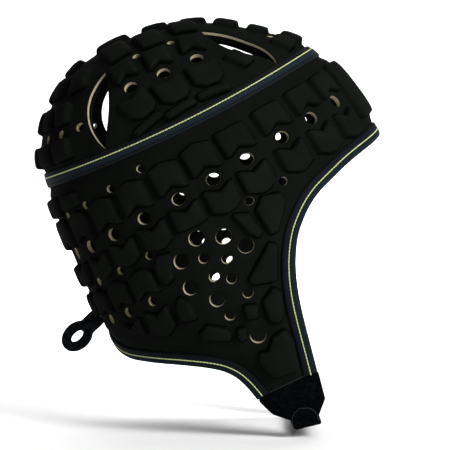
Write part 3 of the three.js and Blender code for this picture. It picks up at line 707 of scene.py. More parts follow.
def finish_piece(name, points, faces, materials, slots, node, cloth=None, shades=None):
    """Makes a piece from points in metres, and hands it to the frame."""
    mesh = bpy.data.meshes.new(name)
    mesh.from_pydata([tuple(point) for point in points], [], [tuple(face) for face in faces])
    for material in materials:
        mesh.materials.append(material)
    mesh.polygons.foreach_set("material_index", np.asarray(slots, dtype=np.int32))
    if cloth is not None:
        layer = mesh.uv_layers.new(name="cloth")
        layer.data.foreach_set("uv", np.asarray(cloth, dtype=np.float32).ravel())
    # Painted shade of the knit, from the creases to the block tops, for the material to read
    if shades is not None:
        layer = mesh.attributes.new("shade", "FLOAT", "POINT")
        layer.data.foreach_set("value", np.asarray(shades, dtype=np.float32))
    mesh.validate()
    piece = bpy.data.objects.new(name, mesh)
    bpy.context.collection.objects.link(piece)
    bpy.ops.object.select_all(action="DESELECT")
    piece.select_set(True)
    bpy.context.view_layer.objects.active = piece
    bpy.ops.object.mode_set(mode="EDIT")
    bpy.ops.mesh.select_all(action="SELECT")
    bpy.ops.mesh.remove_doubles(threshold=MERGE_REACH)
    bpy.ops.mesh.normals_make_consistent(inside=False)
    bpy.ops.object.mode_set(mode="OBJECT")
    bpy.ops.object.shade_smooth_by_angle(angle=SHARP_ANGLE)
    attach(piece, "root")
    if node:
        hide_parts(node)
    return piece


# Painted shades of the knit: on the skin and the slightly lighter tops, and the share of a crease's
# painted shade on upright sides
SKIN_SHADE = 0.5
TOP_SHADE = 1.0
SIDEWAYS_CREASE = 0.25

# Channels between close features: reach of the search, smallest foot, step of the shares, width
NEIGHBOUR_REACH = 52.0
SMALLEST_SHARE = 0.1
SHARE_STEP = 0.05
CHANNEL = 0.6

SWELL = 1.8                 # how far the skin is puffed out between the blocks
SWELL_FADE = 6.0
FILL_CLEARANCE = 1.4        # way of the skin's loose points off the rings
FILL_MERGE = 1e-7

# Material slots of a panel: its covering, and the raw foam inside
COVER = 0
RAW_FOAM = 1


def swollen(lifts, swell):
    """Lifts of a panel that is puffed out between its blocks, with its inside and block tops kept."""
    raised = swell + lifts * (1 - swell / BLOCK_HEIGHT)
    wall = lifts + swell * (1 + lifts / WALL)
    return np.where(lifts > 0, raised, wall)


def densely(ring):
    """Closed ring with points added on its sides."""
    follower = np.roll(ring, -1, axis=0)
    return np.vstack([ring + share * (follower - ring) for share in (0, 0.25, 0.5, 0.75)])


class FoamPanel:
    """A moulded panel in its flat pattern: rings of points with lifts, joined by faces."""

    def __init__(self, place, spread, swell=None):
        self.place = place
        self.spread = spread
        self.swell = swell
        self.features = []
        self.points = []
        self.shades = []
        self.faces = []
        self.slots = []

    def ring(self, outline, lift, shade=SKIN_SHADE):
        """Adds points at a lift. Returns their numbers."""
        start = len(self.points)
        self.points.extend((first, second, lift) for first, second in outline)
        self.shades.extend(np.broadcast_to(shade, len(outline)))
        return list(range(start, len(self.points)))

    def strip(self, low, high, slot):
        """Joins two rings of equal length with faces."""
        for i in range(len(low)):
            j = (i + 1) % len(low)
            self.faces.append((low[i], low[j], high[j], high[i]))
            self.slots.append(slot)

    def block(self, outline, to_pattern, slope):
        """Block with a filleted foot, drafted sides and a rounded top, from the outline of its top."""
        outline = anticlockwise(outline) / slope
        corner = min(BLOCK_CORNER, BLOCK_CORNER_SHARE * np.min(np.ptp(outline, axis=0)))
        rings = block_rings(outline, corner, [-way for way, _, _ in BLOCK_PROFILE])
        lifts = [lift for _, lift, _ in BLOCK_PROFILE]
        # Painted shade of the crease: full on the sides that face up and down, a share of it on the
        # sideways slopes
        steep = np.abs(rings[0] - rings[-1])[:, 1] / BLOCK_PROFILE[0][0]
        steep = SIDEWAYS_CREASE + (1 - SIDEWAYS_CREASE) * steep.clip(0, 1)
        shades = [SKIN_SHADE + (shade - SKIN_SHADE) * steep for _, _, shade in BLOCK_PROFILE]
        core = len(rings) - 1
        middle = rings[core].mean(axis=0)
        for share, lift in BLOCK_TOP:
            rings.append(middle + share * (rings[core] - middle))
            lifts.append(lift)
            shades.append(np.full(len(steep), TOP_SHADE))
        self.features.append({"rings": [to_pattern(ring * slope) for ring in rings], "lifts": lifts,
                              "shades": shades, "slots": [COVER] * len(rings), "core": core,
                              "closed": True})

    def hole(self, outline, to_pattern, wall=HOLE_WALL):
        """Punched hole with a laminate rim and a wall of bare foam."""
        outline = anticlockwise(outline)
        steps = HOLE_RIM + wall + HOLE_INSIDE
        slots = [COVER] * len(HOLE_RIM) + [RAW_FOAM] * len(wall) + [COVER] * len(HOLE_INSIDE)
        self.features.append({"rings": [to_pattern(moved_out(outline, way)) for way, _ in steps],
                              "lifts": [lift for _, lift in steps],
                              "shades": [SKIN_SHADE] * len(steps), "slots": slots,
                              "core": len(HOLE_RIM), "closed": False})

    def keep_apart(self, wrap):
        """Draws feet and rims in where two features are close, so that a channel is left between."""
        cores = [densely(feature["rings"][feature["core"]]) for feature in self.features]
        middles = np.array([core.mean(axis=0) for core in cores])
        for number, feature in enumerate(self.features):
            core = feature["rings"][feature["core"]]
            reach = feature["rings"][0] - core
            others = []
            for other, points in enumerate(cores):
                apart = middles[number] - middles[other]
                shift = np.array([round(apart[0] / wrap) * wrap if wrap else 0, 0])
                near = np.all(np.abs(apart - shift) < NEIGHBOUR_REACH)
                if other != number and near:
                    others.append(points + shift)
            if not others:
                continue
            others = np.vstack(others)
            allowed = np.full(len(core), SMALLEST_SHARE)
            for share in np.arange(SMALLEST_SHARE, 1 + SHARE_STEP / 5, SHARE_STEP):
                spots = core + share * reach
                gaps = np.linalg.norm(spots[:, None] - others[None], axis=2).min(axis=1)
                clear = share * np.linalg.norm(reach, axis=1) < gaps - CHANNEL / 2
                allowed = np.where(clear, share, allowed)
            for _ in range(2):
                beside = np.minimum(np.roll(allowed, 1), np.roll(allowed, -1))
                allowed = np.minimum(allowed, 0.5 * (allowed + beside) + SHARE_STEP)
            for i in range(feature["core"]):
                feature["rings"][i] = core + (feature["rings"][i] - core) * allowed[:, None]

    def raise_features(self):
        """Makes the faces of the blocks and holes. Returns outer rings, and inner rings of the holes."""
        outer, inner = [], []
        for feature in self.features:
            rings = []
            for ring, lift, shade in zip(feature["rings"], feature["lifts"], feature["shades"]):
                rings.append(self.ring(ring, lift, shade))
            for low, high, slot in zip(rings, rings[1:], feature["slots"][1:]):
                self.strip(low, high, slot)
            outer.append(rings[0])
            if feature["closed"]:
                last = rings[-1]
                middle = feature["rings"][-1].mean(axis=0)[None]
                top = self.ring(middle, feature["lifts"][-1], TOP_SHADE)[0]
                for i, index in enumerate(last):
                    self.faces.append((index, last[(i + 1) % len(last)], top))
                    self.slots.append(COVER)
            else:
                inner.append(rings[-1])
        return outer, inner

    def fill(self, outer, islands, extra, lift):
        """Skin between an outer ring and islands, which stay open."""
        rims = [np.array([self.points[index][:2] for index in ring]) for ring in [outer] + islands]
        inner_points = self.ring(clear_of(extra, rims, FILL_CLEARANCE), lift)
        used = [index for ring in [outer] + islands for index in ring] + inner_points
        order = {index: number for number, index in enumerate(used)}
        flat = self.spread(np.array([self.points[index][:2] for index in used]))
        rims = [turned_left(flat, [order[index] for index in ring]) for ring in [outer] + islands]
        result = delaunay_2d_cdt([Vector(point) for point in flat], [], rims, 0, FILL_MERGE, True)
        triangles, corners, owners = result[2], result[3], result[5]
        for triangle, owner in zip(triangles, owners):
            if list(owner) != [0]:
                continue
            self.faces.append(tuple(used[corners[vertex][0]] for vertex in triangle))
            self.slots.append(COVER)

    def make(self, name, node, wrap, materials, record_slot):
        """Places the pattern's points off the skin and makes the padded piece."""
        used = sorted({index for face in self.faces for index in face})
        order = {index: number for number, index in enumerate(used)}
        pattern = np.array([self.points[index] for index in used])
        if self.swell:
            pattern[:, 2] = swollen(pattern[:, 2], self.swell(pattern[:, :2]))
        points = in_part(self.place(pattern[:, 0], pattern[:, 1], pattern[:, 2]))
        faces = [tuple(order[index] for index in face) for face in self.faces]
        cloth = []
        for face in faces:
            first = pattern[list(face), 0]
            if wrap:
                first = np.where(first.max() - first > wrap / 2, first + wrap, first)
            cloth.extend(zip(first * UV_MM, pattern[list(face), 1] * UV_MM))
        shades = [self.shades[index] for index in used]
        piece = finish_piece(name, points, faces, materials, self.slots, node, cloth,
                             shades)
        return piece


def as_given(outline):
    return np.asarray(outline, float)


def mirror_band(outline):
    return np.asarray(outline, float) * (-1, 1)


def mirror_crown(outline):
    return np.asarray(outline, float) * (1, -1)


def row_places(row):
    """Places along the band of a row's columns on both sides."""
    places = []
    for column in row["columns"]:
        along = column * PERIOD
        places.extend([along] if column in (0, PERIODS / 2) else [along, -along])
    return places


FLAT_RADIUS = 90.0


def band_spread(points):
    """Lays the band's pattern out as a ring, so that it closes on itself."""
    turn = 2 * math.pi * points[:, 0] / ARC
    far = FLAT_RADIUS + points[:, 1]
    return np.stack([far * np.cos(turn), far * np.sin(turn)], axis=-1)


def inside_outline(points, outline):
    """Which points lie inside a closed outline that has no dents."""
    ways = np.roll(outline, -1, axis=0) - outline
    offsets = points[:, None] - outline[None]
    return np.all(ways[:, 0] * offsets[..., 1] - ways[:, 1] * offsets[..., 0] > 0, axis=1)


def clear_of(points, rings, distance):
    """The points that keep a distance from all ring points."""
    kept = np.ones(len(points), bool)
    for ring in rings:
        reach = ring.max(axis=0) + distance
        floor = ring.min(axis=0) - distance
        near = np.nonzero(np.all((points < reach) & (points > floor), axis=1))[0]
        if len(near):
            gaps = np.linalg.norm(points[near, None] - ring[None], axis=2).min(axis=1)
            kept[near[gaps < distance]] = False
    return points[kept]


# Lower edge of the band: way of the foam in from it, steps along it, and way of the blocks' tops
EDGE_INSET = TAPE + GAP
EDGE_STEP = 2.5
EDGE_CLEARANCE = BINDING_WIDTH + 2.0
TIP_STEPS = 14
SEAM_POINTS = 240

# Loose points of the skins: the band's first and last drop and step, the crown's reaches and step
BAND_GRID = (3, 175, 4.0)
CROWN_GRID = {"rear": -100, "front": 125, "side": 108, "step": 4.5, "edge": 2}


def steps_for(points):
    length = np.sum(np.linalg.norm(np.diff(np.asarray(points, float), axis=0), axis=1))
    return int(length / EDGE_STEP) + 2


face_path = spline(FACE_EDGE, steps_for(FACE_EDGE))
neck_path = spline(NECK_EDGE, steps_for(NECK_EDGE))


def band_outline():
    """Lower edge of the foam, once round."""
    face = moved_in(face_path, EDGE_INSET)
    neck = moved_in(neck_path, EDGE_INSET)
    face[0, 0] = 0
    neck[-1, 0] = ARC / 2
    face[-1, 1] = TAB_EDGE
    neck[0, 1] = TAB_EDGE
    tip = np.linspace(face[-1], neck[0], TIP_STEPS)[1:-1]
    right = np.vstack([face, tip, neck])
    return np.vstack([right, mirror_band(right[1:-1][::-1])])


def edge_limit(along):
    """Lowest drop of a block's top that keeps its foot off the edge tape."""
    far = min(abs(along), ARC - abs(along))
    path = face_path if far < FACE_EDGE[-1][0] else neck_path
    places = np.array([far - 0.5, far + 0.5])
    drops = np.interp(places, path[:, 0], path[:, 1])
    return drops.mean() - EDGE_CLEARANCE * math.hypot(1, drops[1] - drops[0])


def band_swell(places):
    """How far the band is puffed out, nothing under the tapes and at the tabs."""
    places = np.stack([np.abs((places[:, 0] + ARC / 2) % ARC - ARC / 2), places[:, 1]], axis=-1)
    edge = np.vstack([face_path, neck_path])
    clear = np.array([np.linalg.norm(edge - place, axis=1).min() for place in places])
    clear = np.minimum(clear - BINDING_WIDTH, places[:, 1] - TAPE_DROP)
    clear = np.minimum(clear, TAB_EDGE - places[:, 1])
    return SWELL * ease(clear / SWELL_FADE)[:, 0]


def crown_swell(places):
    """How far the crown is puffed out, nothing under the seam tape."""
    angle = np.arctan2(places[:, 1], places[:, 0])
    clear = around(CROWN_REACH, angle) - np.hypot(*places.T) - TAPE_RISE
    return SWELL * ease(clear / SWELL_FADE)[:, 0]


def make_band():
    panel = FoamPanel(on_band, band_spread, band_swell)
    for row in BAND_ROWS:
        for along in row_places(row):
            angle = band_angle(along)
            top, bottom = around(row["top"], angle), around(row["bottom"], angle)
            half = row["half"]
            outline = [(along - half, top), (along + half, top), (along + half, bottom),
                       (along, bottom + row["notch"]), (along - half, bottom)]
            if row["peak"]:
                outline.insert(1, (along, top + row["peak"]))
            outline = [(place, min(drop, edge_limit(place))) for place, drop in outline]
            panel.block(outline, as_given, ROW_SLOPE)
    for corners in CHEEK_BLOCKS:
        panel.block(corners, as_given, CHEEK_SLOPE)
        panel.block(mirror_band(corners), as_given, CHEEK_SLOPE)
    for row in BAND_HOLES:
        for along in row_places(row):
            drop = around(row["drop"], band_angle(along))
            panel.hole(circle(row["size"]) + (along, drop), as_given)
    for along, drop, size in EAR_HOLES:
        for side in (1, -1):
            panel.hole(circle(size) + (side * along, drop), as_given)
    panel.keep_apart(ARC)
    islands, openings = panel.raise_features()

    edge = band_outline()
    round_seam = np.linspace(-ARC / 2, ARC / 2, SEAM_POINTS, endpoint=False)
    seam = np.stack([round_seam, np.full(SEAM_POINTS, GAP / 2)], axis=-1)
    outer_edge, inner_edge = panel.ring(edge, 0.0), panel.ring(edge, -WALL)
    outer_seam, inner_seam = panel.ring(seam, 0.0), panel.ring(seam, -WALL)
    panel.strip(outer_edge, inner_edge, COVER)
    panel.strip(outer_seam, inner_seam, RAW_FOAM)
    along, drop = np.meshgrid(np.arange(-ARC / 2, ARC / 2, BAND_GRID[2]), np.arange(*BAND_GRID))
    grid = np.stack([along.ravel(), drop.ravel()], axis=-1)
    panel.fill(outer_edge, islands + [outer_seam], grid, 0.0)
    panel.fill(inner_edge, openings + [inner_seam], grid[::2], -WALL)
    return panel.make("band_foam", "band_panel", ARC, [LAMINATE, CUT_FOAM], "foam_panel")


SLOT_STEPS = 19


def slot_outline(foot_angle, tip_angle, tip_rise):
    """Pointed lens between a slot's foot and tip, in the flat crown."""
    foot = crown_spot(math.radians(foot_angle), SLOT_FOOT)
    tip = crown_spot(math.radians(tip_angle), tip_rise)
    middle = (foot + tip) / 2
    stretch = np.linalg.norm(crown_frame(middle, unit(middle))[:, 0])
    way = unit(tip - foot)
    side = np.array([-way[1], way[0]])
    shares = np.linspace(0, 1, SLOT_STEPS)[:, None]
    bulge = SLOT_WIDTH / 2 * stretch * 4 * shares * (1 - shares) * side
    line = foot + shares * (tip - foot)
    return np.vstack([line + bulge, (line - bulge)[1:-1][::-1]])


CROWN_FOOT = BLOCK_PROFILE[1][0]
MIDDLE_LINE = 1.0


def make_crown():
    panel = FoamPanel(on_crown, as_given, crown_swell)
    inwards = np.array([0.0, -1.0])

    def both_sides(make, outline, spot, up, *slope):
        """Adds a block or hole and its mirror image, once where it stands on the middle line."""
        matrix = crown_frame(spot, up)
        make(outline, lambda ring: spot + ring @ matrix.T, *slope)
        if abs(spot[1]) > MIDDLE_LINE:
            make(outline, lambda ring: mirror_crown(spot + ring @ matrix.T), *slope)

    def oblong(wide, long):
        """Top of a block with this foot."""
        half = wide / 2 - CROWN_FOOT * CROWN_SLOPE[0]
        reach = long / 2 - CROWN_FOOT * CROWN_SLOPE[1]
        return [(-half, -reach), (half, -reach), (half, reach), (-half, reach)]

    for low, high, half, corner_cut, low_dent, high_dent in SIDE_ROWS:
        rise, reach = (low + high) / 2, (high - low) / 2
        outline = [(half - corner_cut, -reach), (half, corner_cut - reach), (half, reach),
                   (0, reach - high_dent), (-half, reach), (-half, corner_cut - reach),
                   (corner_cut - half, -reach), (0, low_dent - reach)]
        # Without a cut the corners of each pair fall together, so one of each is left out
        if not corner_cut:
            outline = outline[1:6] + outline[7:]
        for x in SIDE_COLUMNS:
            spot = crown_spot(angle_at_x(x, rise), rise)
            both_sides(panel.block, outline, spot, inwards, CROWN_SLOPE)
    for low, high, width, angles in ARM_ROWS:
        for degrees in angles:
            spot = crown_spot(math.radians(degrees), (low + high) / 2)
            both_sides(panel.block, oblong(width, high - low), spot, -unit(spot), CROWN_SLOPE)
    for ahead in RIDGE_BLOCKS:
        spot = np.array([ahead, 0.0])
        both_sides(panel.block, oblong(*RIDGE_SIZE), spot, np.array([1.0, 0.0]), CROWN_SLOPE)
    for rise, size, places in SIDE_HOLES:
        for x in places:
            spot = crown_spot(angle_at_x(x, rise), rise)
            both_sides(panel.hole, circle(size), spot, inwards)
    for rise, size, angles in ARM_HOLES:
        for degrees in angles:
            spot = crown_spot(math.radians(degrees), rise)
            both_sides(panel.hole, circle(size), spot, -unit(spot))
    for slot in SLOTS:
        outline = slot_outline(*slot)
        panel.hole(outline, as_given, SLOT_WALL)
        panel.hole(mirror_crown(outline), as_given, SLOT_WALL)
    panel.keep_apart(0)
    islands, openings = panel.raise_features()

    turn = np.linspace(0, 2 * math.pi, SEAM_POINTS, endpoint=False)
    seam = np.array([crown_spot(angle, GAP / 2) for angle in turn])
    outer_seam, inner_seam = panel.ring(seam, 0.0), panel.ring(seam, -WALL)
    panel.strip(outer_seam, inner_seam, RAW_FOAM)
    step, side = CROWN_GRID["step"], CROWN_GRID["side"]
    ahead, right = np.meshgrid(np.arange(CROWN_GRID["rear"], CROWN_GRID["front"], step),
                               np.arange(-side, side + 1, step))
    grid = np.stack([ahead.ravel(), right.ravel()], axis=-1)
    reach = around(CROWN_REACH, np.arctan2(grid[:, 1], grid[:, 0])) - CROWN_GRID["edge"]
    grid = grid[np.hypot(*grid.T) < reach]
    panel.fill(outer_seam, islands, grid, 0.0)
    panel.fill(inner_seam, openings, grid[::2], -WALL)
    return panel.make("crown_foam", "crown_panel", 0, [LAMINATE, CUT_FOAM], "foam_panel")


def swept(name, rings, closed, material, node, lengths, widths):
    """Piece from equal rings of points, with a cloth map by its length and by the way round the ring."""
    count, sides = rings.shape[:2]
    points = in_part(rings.reshape(-1, 3))
    lengths = np.asarray(lengths) * UV_MM
    widths = np.asarray(widths) * UV_MM
    faces = []
    cloth = []
    for ring in range(count if closed else count - 1):
        first, second = ring * sides, (ring + 1) % count * sides
        start, end = lengths[ring], lengths[ring + 1]
        for side in range(sides):
            follower = (side + 1) % sides
            faces.append((first + side, first + follower, second + follower, second + side))
            cloth.extend([(start, widths[side]), (start, widths[follower]),
                          (end, widths[follower]), (end, widths[side])])
    if not closed:
        for ring in (0, count - 1):
            faces.append(tuple(range(ring * sides, (ring + 1) * sides)))
            cloth.extend([(lengths[ring], width) for width in widths])
    return finish_piece(name, points, faces, [material], [0] * len(faces), node, cloth)


# Section of the seam tape: way across, up on the crown, and lift
SEAM_SECTION = (
    (4.0, 0.5), (3.7, 1.0), (3.2, 1.25), (2.2, 1.3), (1.2, 1.2), (0.5, 1.05), (-0.2, 1.2), (-1.2, 1.35),
    (-2.6, 1.35), (-4.2, 1.3), (-5.2, 1.2), (-5.7, 0.95), (-6.0, 0.5), (-4.0, 0.25), (-1.0, 0.25),
    (1.0, 0.25), (3.0, 0.25),
)
SEAM_STATIONS = 260


def on_seam_tape(along, across, lift):
    """Points across the seam tape, on the crown above the seam and on the band below it."""
    along = np.asarray(along, float)
    if across < 0:
        return on_band(along, np.full_like(along, -across), lift)
    angle = band_angle(along)
    far = around(CROWN_REACH, angle) - across
    return on_crown(far * np.cos(angle), far * np.sin(angle), lift)


def make_seam_tape():
    along = np.linspace(0, ARC, SEAM_STATIONS, endpoint=False)
    columns = [on_seam_tape(along, across, lift) for across, lift in SEAM_SECTION]
    rings = np.stack(columns, axis=1)
    lengths = np.append(along, ARC)
    widths = [across + TAPE_DROP for across, _ in SEAM_SECTION]
    return swept("seam_tape_weave", rings, True, SEAM_WEAVE, "seam_tape", lengths, widths)


# Section of an edge binding: inset from the edge, and lift
INNER_LEAF = -WALL - 2 * BINDING_GAP
BINDING_SECTION = (
    (8.5, 0.7), (8.3, 1.2), (7.6, 1.5), (6.4, 1.6), (5.2, 1.5), (4.5, 1.4), (3.8, 1.5), (2.6, 1.6),
    (1.4, 1.45), (0.5, 0.9), (0.05, -0.2), (0.0, -2.0), (0.05, -4.2), (0.6, -5.5), (1.8, -6.1),
    (4.5, -6.2), (7.6, -6.15), (8.5, -5.6), (7.0, INNER_LEAF), (3.0, INNER_LEAF), (1.3, -4.6),
    (1.05, -2.0), (1.3, 0.3), (3.0, 0.6), (7.0, 0.6),
)


def whole_edge(path, middle_first, inset):
    """Edge path with its mirror image, from one tab round to the other, moved into the foam."""
    side = moved_in(path, inset)
    if not middle_first:
        side = side[::-1]
    side[0, 0] = 0 if middle_first else ARC / 2
    return np.vstack([mirror_band(side[1:][::-1]), side])


def make_binding(name, path, middle_first, node):
    columns = []
    for inset, lift in BINDING_SECTION:
        edge = whole_edge(path, middle_first, inset)
        columns.append(on_band(edge[:, 0], edge[:, 1], lift))
    rings = np.stack(columns, axis=1)
    lengths = np.arange(len(rings)) * EDGE_STEP
    widths = lengths_along(np.array(BINDING_SECTION))
    return swept(name, rings, False, EDGE_WEAVE, node, lengths, widths)


# Stitches of a thread: distance, and half length, half width and half height of each
LIME_STITCH = {"pitch": 2.1, "size": (1.25, 0.42, 0.32)}
GREY_STITCH = {"pitch": 1.6, "size": (0.95, 0.3, 0.25)}
BEAD_SIDES = 8
BEAD_RINGS = 6
BEAD_TAPER = 0.25
LOOK_AHEAD = 0.5            # how far on the way of a stitch is taken


def stitch_row(name, path, ups, material, stitch):
    """Row of overlapping thread stitches along a path in metres, one small bead each."""
    pitch, size = stitch["pitch"], np.array(stitch["size"]) * MM
    bpy.ops.object.select_all(action="DESELECT")
    bpy.ops.mesh.primitive_uv_sphere_add(segments=BEAD_SIDES, ring_count=BEAD_RINGS, radius=1.0)
    bead = bpy.context.object
    shape = np.array([vertex.co for vertex in bead.data.vertices])
    bead_faces = [tuple(face.vertices) for face in bead.data.polygons]
    bpy.data.objects.remove(bead)
    walked = lengths_along(path)
    places = np.arange(pitch / 2, walked[-1] / MM, pitch) * MM
    centres = at_lengths(path, walked, places)
    way = unit(at_lengths(path, walked, places + LOOK_AHEAD * MM) - centres)
    side = unit(np.cross(at_lengths(ups, walked, places), way))
    up = np.cross(way, side)
    narrow = 1 - BEAD_TAPER * shape[:, 2:3]
    points = (centres[:, None] + way[:, None] * shape[:, 2:3] * size[0]
              + side[:, None] * (shape[:, 0:1] * narrow) * size[1]
              + up[:, None] * (shape[:, 1:2] * narrow) * size[2])
    starts = range(0, len(places) * len(shape), len(shape))
    faces = [tuple(start + index for index in face) for start in starts for face in bead_faces]
    return finish_piece(name, points.reshape(-1, 3), faces, [material], [0] * len(faces), None)


def lifted_path(place, lift):
    """Path at a lift in metres, with its outward directions."""
    low, high = in_part(place(lift)), in_part(place(lift + 1.0))
    return low, high - low


# Lime lines: place across the tape or inset from the edge, and lift
SEAM_LINE = (0.5, 1.2)
BINDING_LINE = (4.5, 1.55)
SEAM_LINE_STATIONS = 600


def make_lime_lines():
    along = np.linspace(0, ARC, SEAM_LINE_STATIONS)
    path, ups = lifted_path(lambda lift: on_seam_tape(along, SEAM_LINE[0], lift), SEAM_LINE[1])
    stitch_row("seam_lime_line", path, ups, LIME, LIME_STITCH)
    edges = (("face_lime_line", face_path, True), ("neck_lime_line", neck_path, False))
    for name, edge_path, middle_first in edges:
        edge = whole_edge(edge_path, middle_first, BINDING_LINE[0])
        path, ups = lifted_path(lambda lift: on_band(edge[:, 0], edge[:, 1], lift), BINDING_LINE[1])
        stitch_row(name, path, ups, LIME, LIME_STITCH)


# Section of the chin tab: way in from its outline, and lift of its outer half
TAB_PROFILE = ((0.0, -2.0), (0.1, -1.1), (0.45, -0.4), (1.1, 0.0), (2.0, 0.15))
TAB_TOP = TAB_EDGE + 0.1
TAB_CORNERS = (
    (136.5, TAB_TOP), (137, 179), (140, 194), (148, 202), (163, 199), (173, 189), (176.5, 179),
    (177, TAB_TOP),
)
TAB_ROUNDING = 2.5
TAB_CROWNING = 0.1
TAB_GRID = {"along": (138, 176, 2.5), "drop": (178, 202, 2.5)}

# Stitches where a tab is sewn to its cheek flap: from, to, drop, lift
TAB_SEAM = (144.5, 168.5, 174.4, 0.4)
TAB_SEAM_STATIONS = 40


def make_tab(name, side, node):
    panel = FoamPanel(on_band, as_given)
    outline = anticlockwise(TAB_CORNERS)
    levels = TAB_PROFILE + tuple((way, -WALL - lift) for way, lift in TAB_PROFILE[1:])
    outlines = block_rings(outline, TAB_ROUNDING, [way for way, _ in levels])
    rings = [panel.ring(ring * (side, 1), lift) for ring, (_, lift) in zip(outlines, levels)]
    outer = rings[:len(TAB_PROFILE)]
    inner = rings[:1] + rings[len(TAB_PROFILE):]
    for stack in (outer, inner):
        for low, high in zip(stack, stack[1:]):
            panel.strip(low, high, COVER)
    along, drop = np.meshgrid(np.arange(*TAB_GRID["along"]), np.arange(*TAB_GRID["drop"]))
    grid = np.stack([side * along.ravel(), drop.ravel()], axis=-1)
    grid = grid[inside_outline(grid * (side, 1), outlines[len(TAB_PROFILE) - 1])]
    panel.fill(outer[-1], [], grid, TAB_PROFILE[-1][1] + TAB_CROWNING)
    panel.fill(inner[-1], [], grid, -WALL - TAB_PROFILE[-1][1])
    return panel.make(name, node, 0, [PILE], "loop_pile")


def make_tab_stitches():
    first, last, drop, level = TAB_SEAM
    for name, side in (("right_tab_stitches", 1), ("left_tab_stitches", -1)):
        along = side * np.linspace(first, last, TAB_SEAM_STATIONS)
        path, ups = lifted_path(lambda lift: on_band(along, np.full_like(along, drop), lift), level)
        stitch_row(name, path, ups, GREY_THREAD, GREY_STITCH)


def weighed(start, end, low, high, at):
    """Value between start and end, as far on as a length lies from low to high."""
    return ((high - at) * start + (at - low) * end) / (high - low)


def smooth_path(points, count):
    """Evenly spaced points on a smooth curve through points in space, without overshoot."""
    points = np.asarray(points, float)
    padded = np.vstack([2 * points[0] - points[1], points, 2 * points[-1] - points[-2]])
    fine = []
    for i in range(len(points) - 1):
        near = padded[i:i + 4]
        steps = np.linalg.norm(np.diff(near, axis=0), axis=1) ** 0.5
        knots = np.concatenate([[0], np.cumsum(steps)])
        at = np.linspace(knots[1], knots[2], PATH_STEPS, endpoint=False)[:, None]
        lines = [weighed(near[j], near[j + 1], knots[j], knots[j + 1], at) for j in range(3)]
        bends = [weighed(lines[j], lines[j + 1], knots[j], knots[j + 2], at) for j in range(2)]
        fine.append(weighed(bends[0], bends[1], knots[1], knots[2], at))
    return evenly(np.vstack(fine + [points[-1:]]), count)


# Chin strap: its way down the tab as places along and drops, then under the chin
STRAP_WAY = ((154.5, 191), (155.8, 196), (156.7, 200.2))
STRAP_WIDTH = 17.0
STRAP_THICKNESS = 2.0
STRAP_LIFT = 1.85           # the strap's middle stands this far off the tab
STRAP_BEND = 2.8            # how far the strap goes in and down as it turns under the tab
STRAP_SAG = 1.0
STRAP_TURN = math.radians(12.5)
STRAP_STATIONS = 120
STRAP_BLUNT = 0.06          # square of the share of its width with which a rounded end starts
PATH_STEPS = 40

# Section of the chin strap: share of its half width, share of its half thickness
STRAP_SECTION = (
    (1.0, 0.0), (0.97, 0.6), (0.9, 0.95), (0.8, 1.0), (0.0, 1.0), (-0.8, 1.0), (-0.9, 0.95),
    (-0.97, 0.6), (-1.0, 0.0), (-0.97, -0.6), (-0.85, -1.0), (0.0, -1.0), (0.85, -1.0), (0.97, -0.6),
)

# Stitches round the strap's rounded end: share of its half width, share of its half thickness, length
STRAP_STITCH_SHARE = 0.93
STRAP_STITCH_LEVEL = 1.1
STRAP_STITCH_END = 12.0


def make_strap():
    down = on_band(*np.array(STRAP_WAY).T, STRAP_LIFT)
    under = down[-1] + (0, STRAP_BEND, -STRAP_BEND)
    bottom = np.array([under[0], 0, under[2] - STRAP_SAG])
    right = np.vstack([down, under])
    path = smooth_path(np.vstack([right, bottom, (right * (1, -1, 1))[::-1]]), STRAP_STATIONS)
    walked = lengths_along(path)
    from_end = np.minimum(walked, walked[-1] - walked) / (STRAP_WIDTH / 2)
    round_end = np.sqrt(np.clip(1 - (1 - np.minimum(from_end, 1)) ** 2, STRAP_BLUNT, 1))
    forwards = np.array([math.cos(STRAP_TURN), 0.0, -math.sin(STRAP_TURN)])
    ways = unit(np.gradient(path, axis=0))
    thick = unit(np.cross(ways, forwards)) * STRAP_THICKNESS / 2
    wide = forwards * STRAP_WIDTH / 2 * round_end[:, None]
    columns = [path + wide * share + thick * level for share, level in STRAP_SECTION]
    rings = np.stack(columns, axis=1)
    widths = [STRAP_WIDTH / 2 * (1 + share) for share, _ in STRAP_SECTION]
    swept("strap_pile", rings, False, PILE, "chin_strap", walked, widths)
    top = path + thick * STRAP_STITCH_LEVEL
    rear, ahead = (top + wide * share for share in (-STRAP_STITCH_SHARE, STRAP_STITCH_SHARE))
    shown = np.count_nonzero(walked < STRAP_STITCH_END)
    border = np.vstack([rear[:shown][::-1], ahead[1:shown]])
    ups = np.vstack([thick[:shown][::-1], thick[1:shown]])
    stitch_row("strap_border_stitches", in_part(border), tilted(ups), GREY_THREAD,
               GREY_STITCH)


# Nape loop: outside half length and half width, half length and half width of its hole, stem width
LOOP_RADIUS = 11.0
LOOP_HALF_WIDTH = 8.5
LACE_HOLE = (4.5, 2.2)
LOOP_STEM = 11.0
LOOP_REACH = 19.0           # from the nape's skin to the loop's middle
LOOP_FALL = 6.0             # the loop hangs below its seat by this much
LOOP_SEAT = 91.0            # drop of the sewn end at the nape
STEM_CLEARANCE = 0.8
LOOP_STATIONS = 96
LACE_THICKNESS = 2.4
LACE_WIDTH = 8.5
LACE_RIBS = 5
RIB_DEPTH = 0.18            # share of the thickness that the grooves between ribs take
LACE_STEPS = 21
LACE_SQUARENESS = 6         # power that gives the section full sides and rounded edges
LACE_MIDDLE = 0.7           # share of the loop's radius at which the lace's length is measured
LACE_LENGTH = 2 * math.pi * LACE_MIDDLE * LOOP_RADIUS
SMALLEST_SHADOW = 1e-3      # keeps the stem's divisions from failing


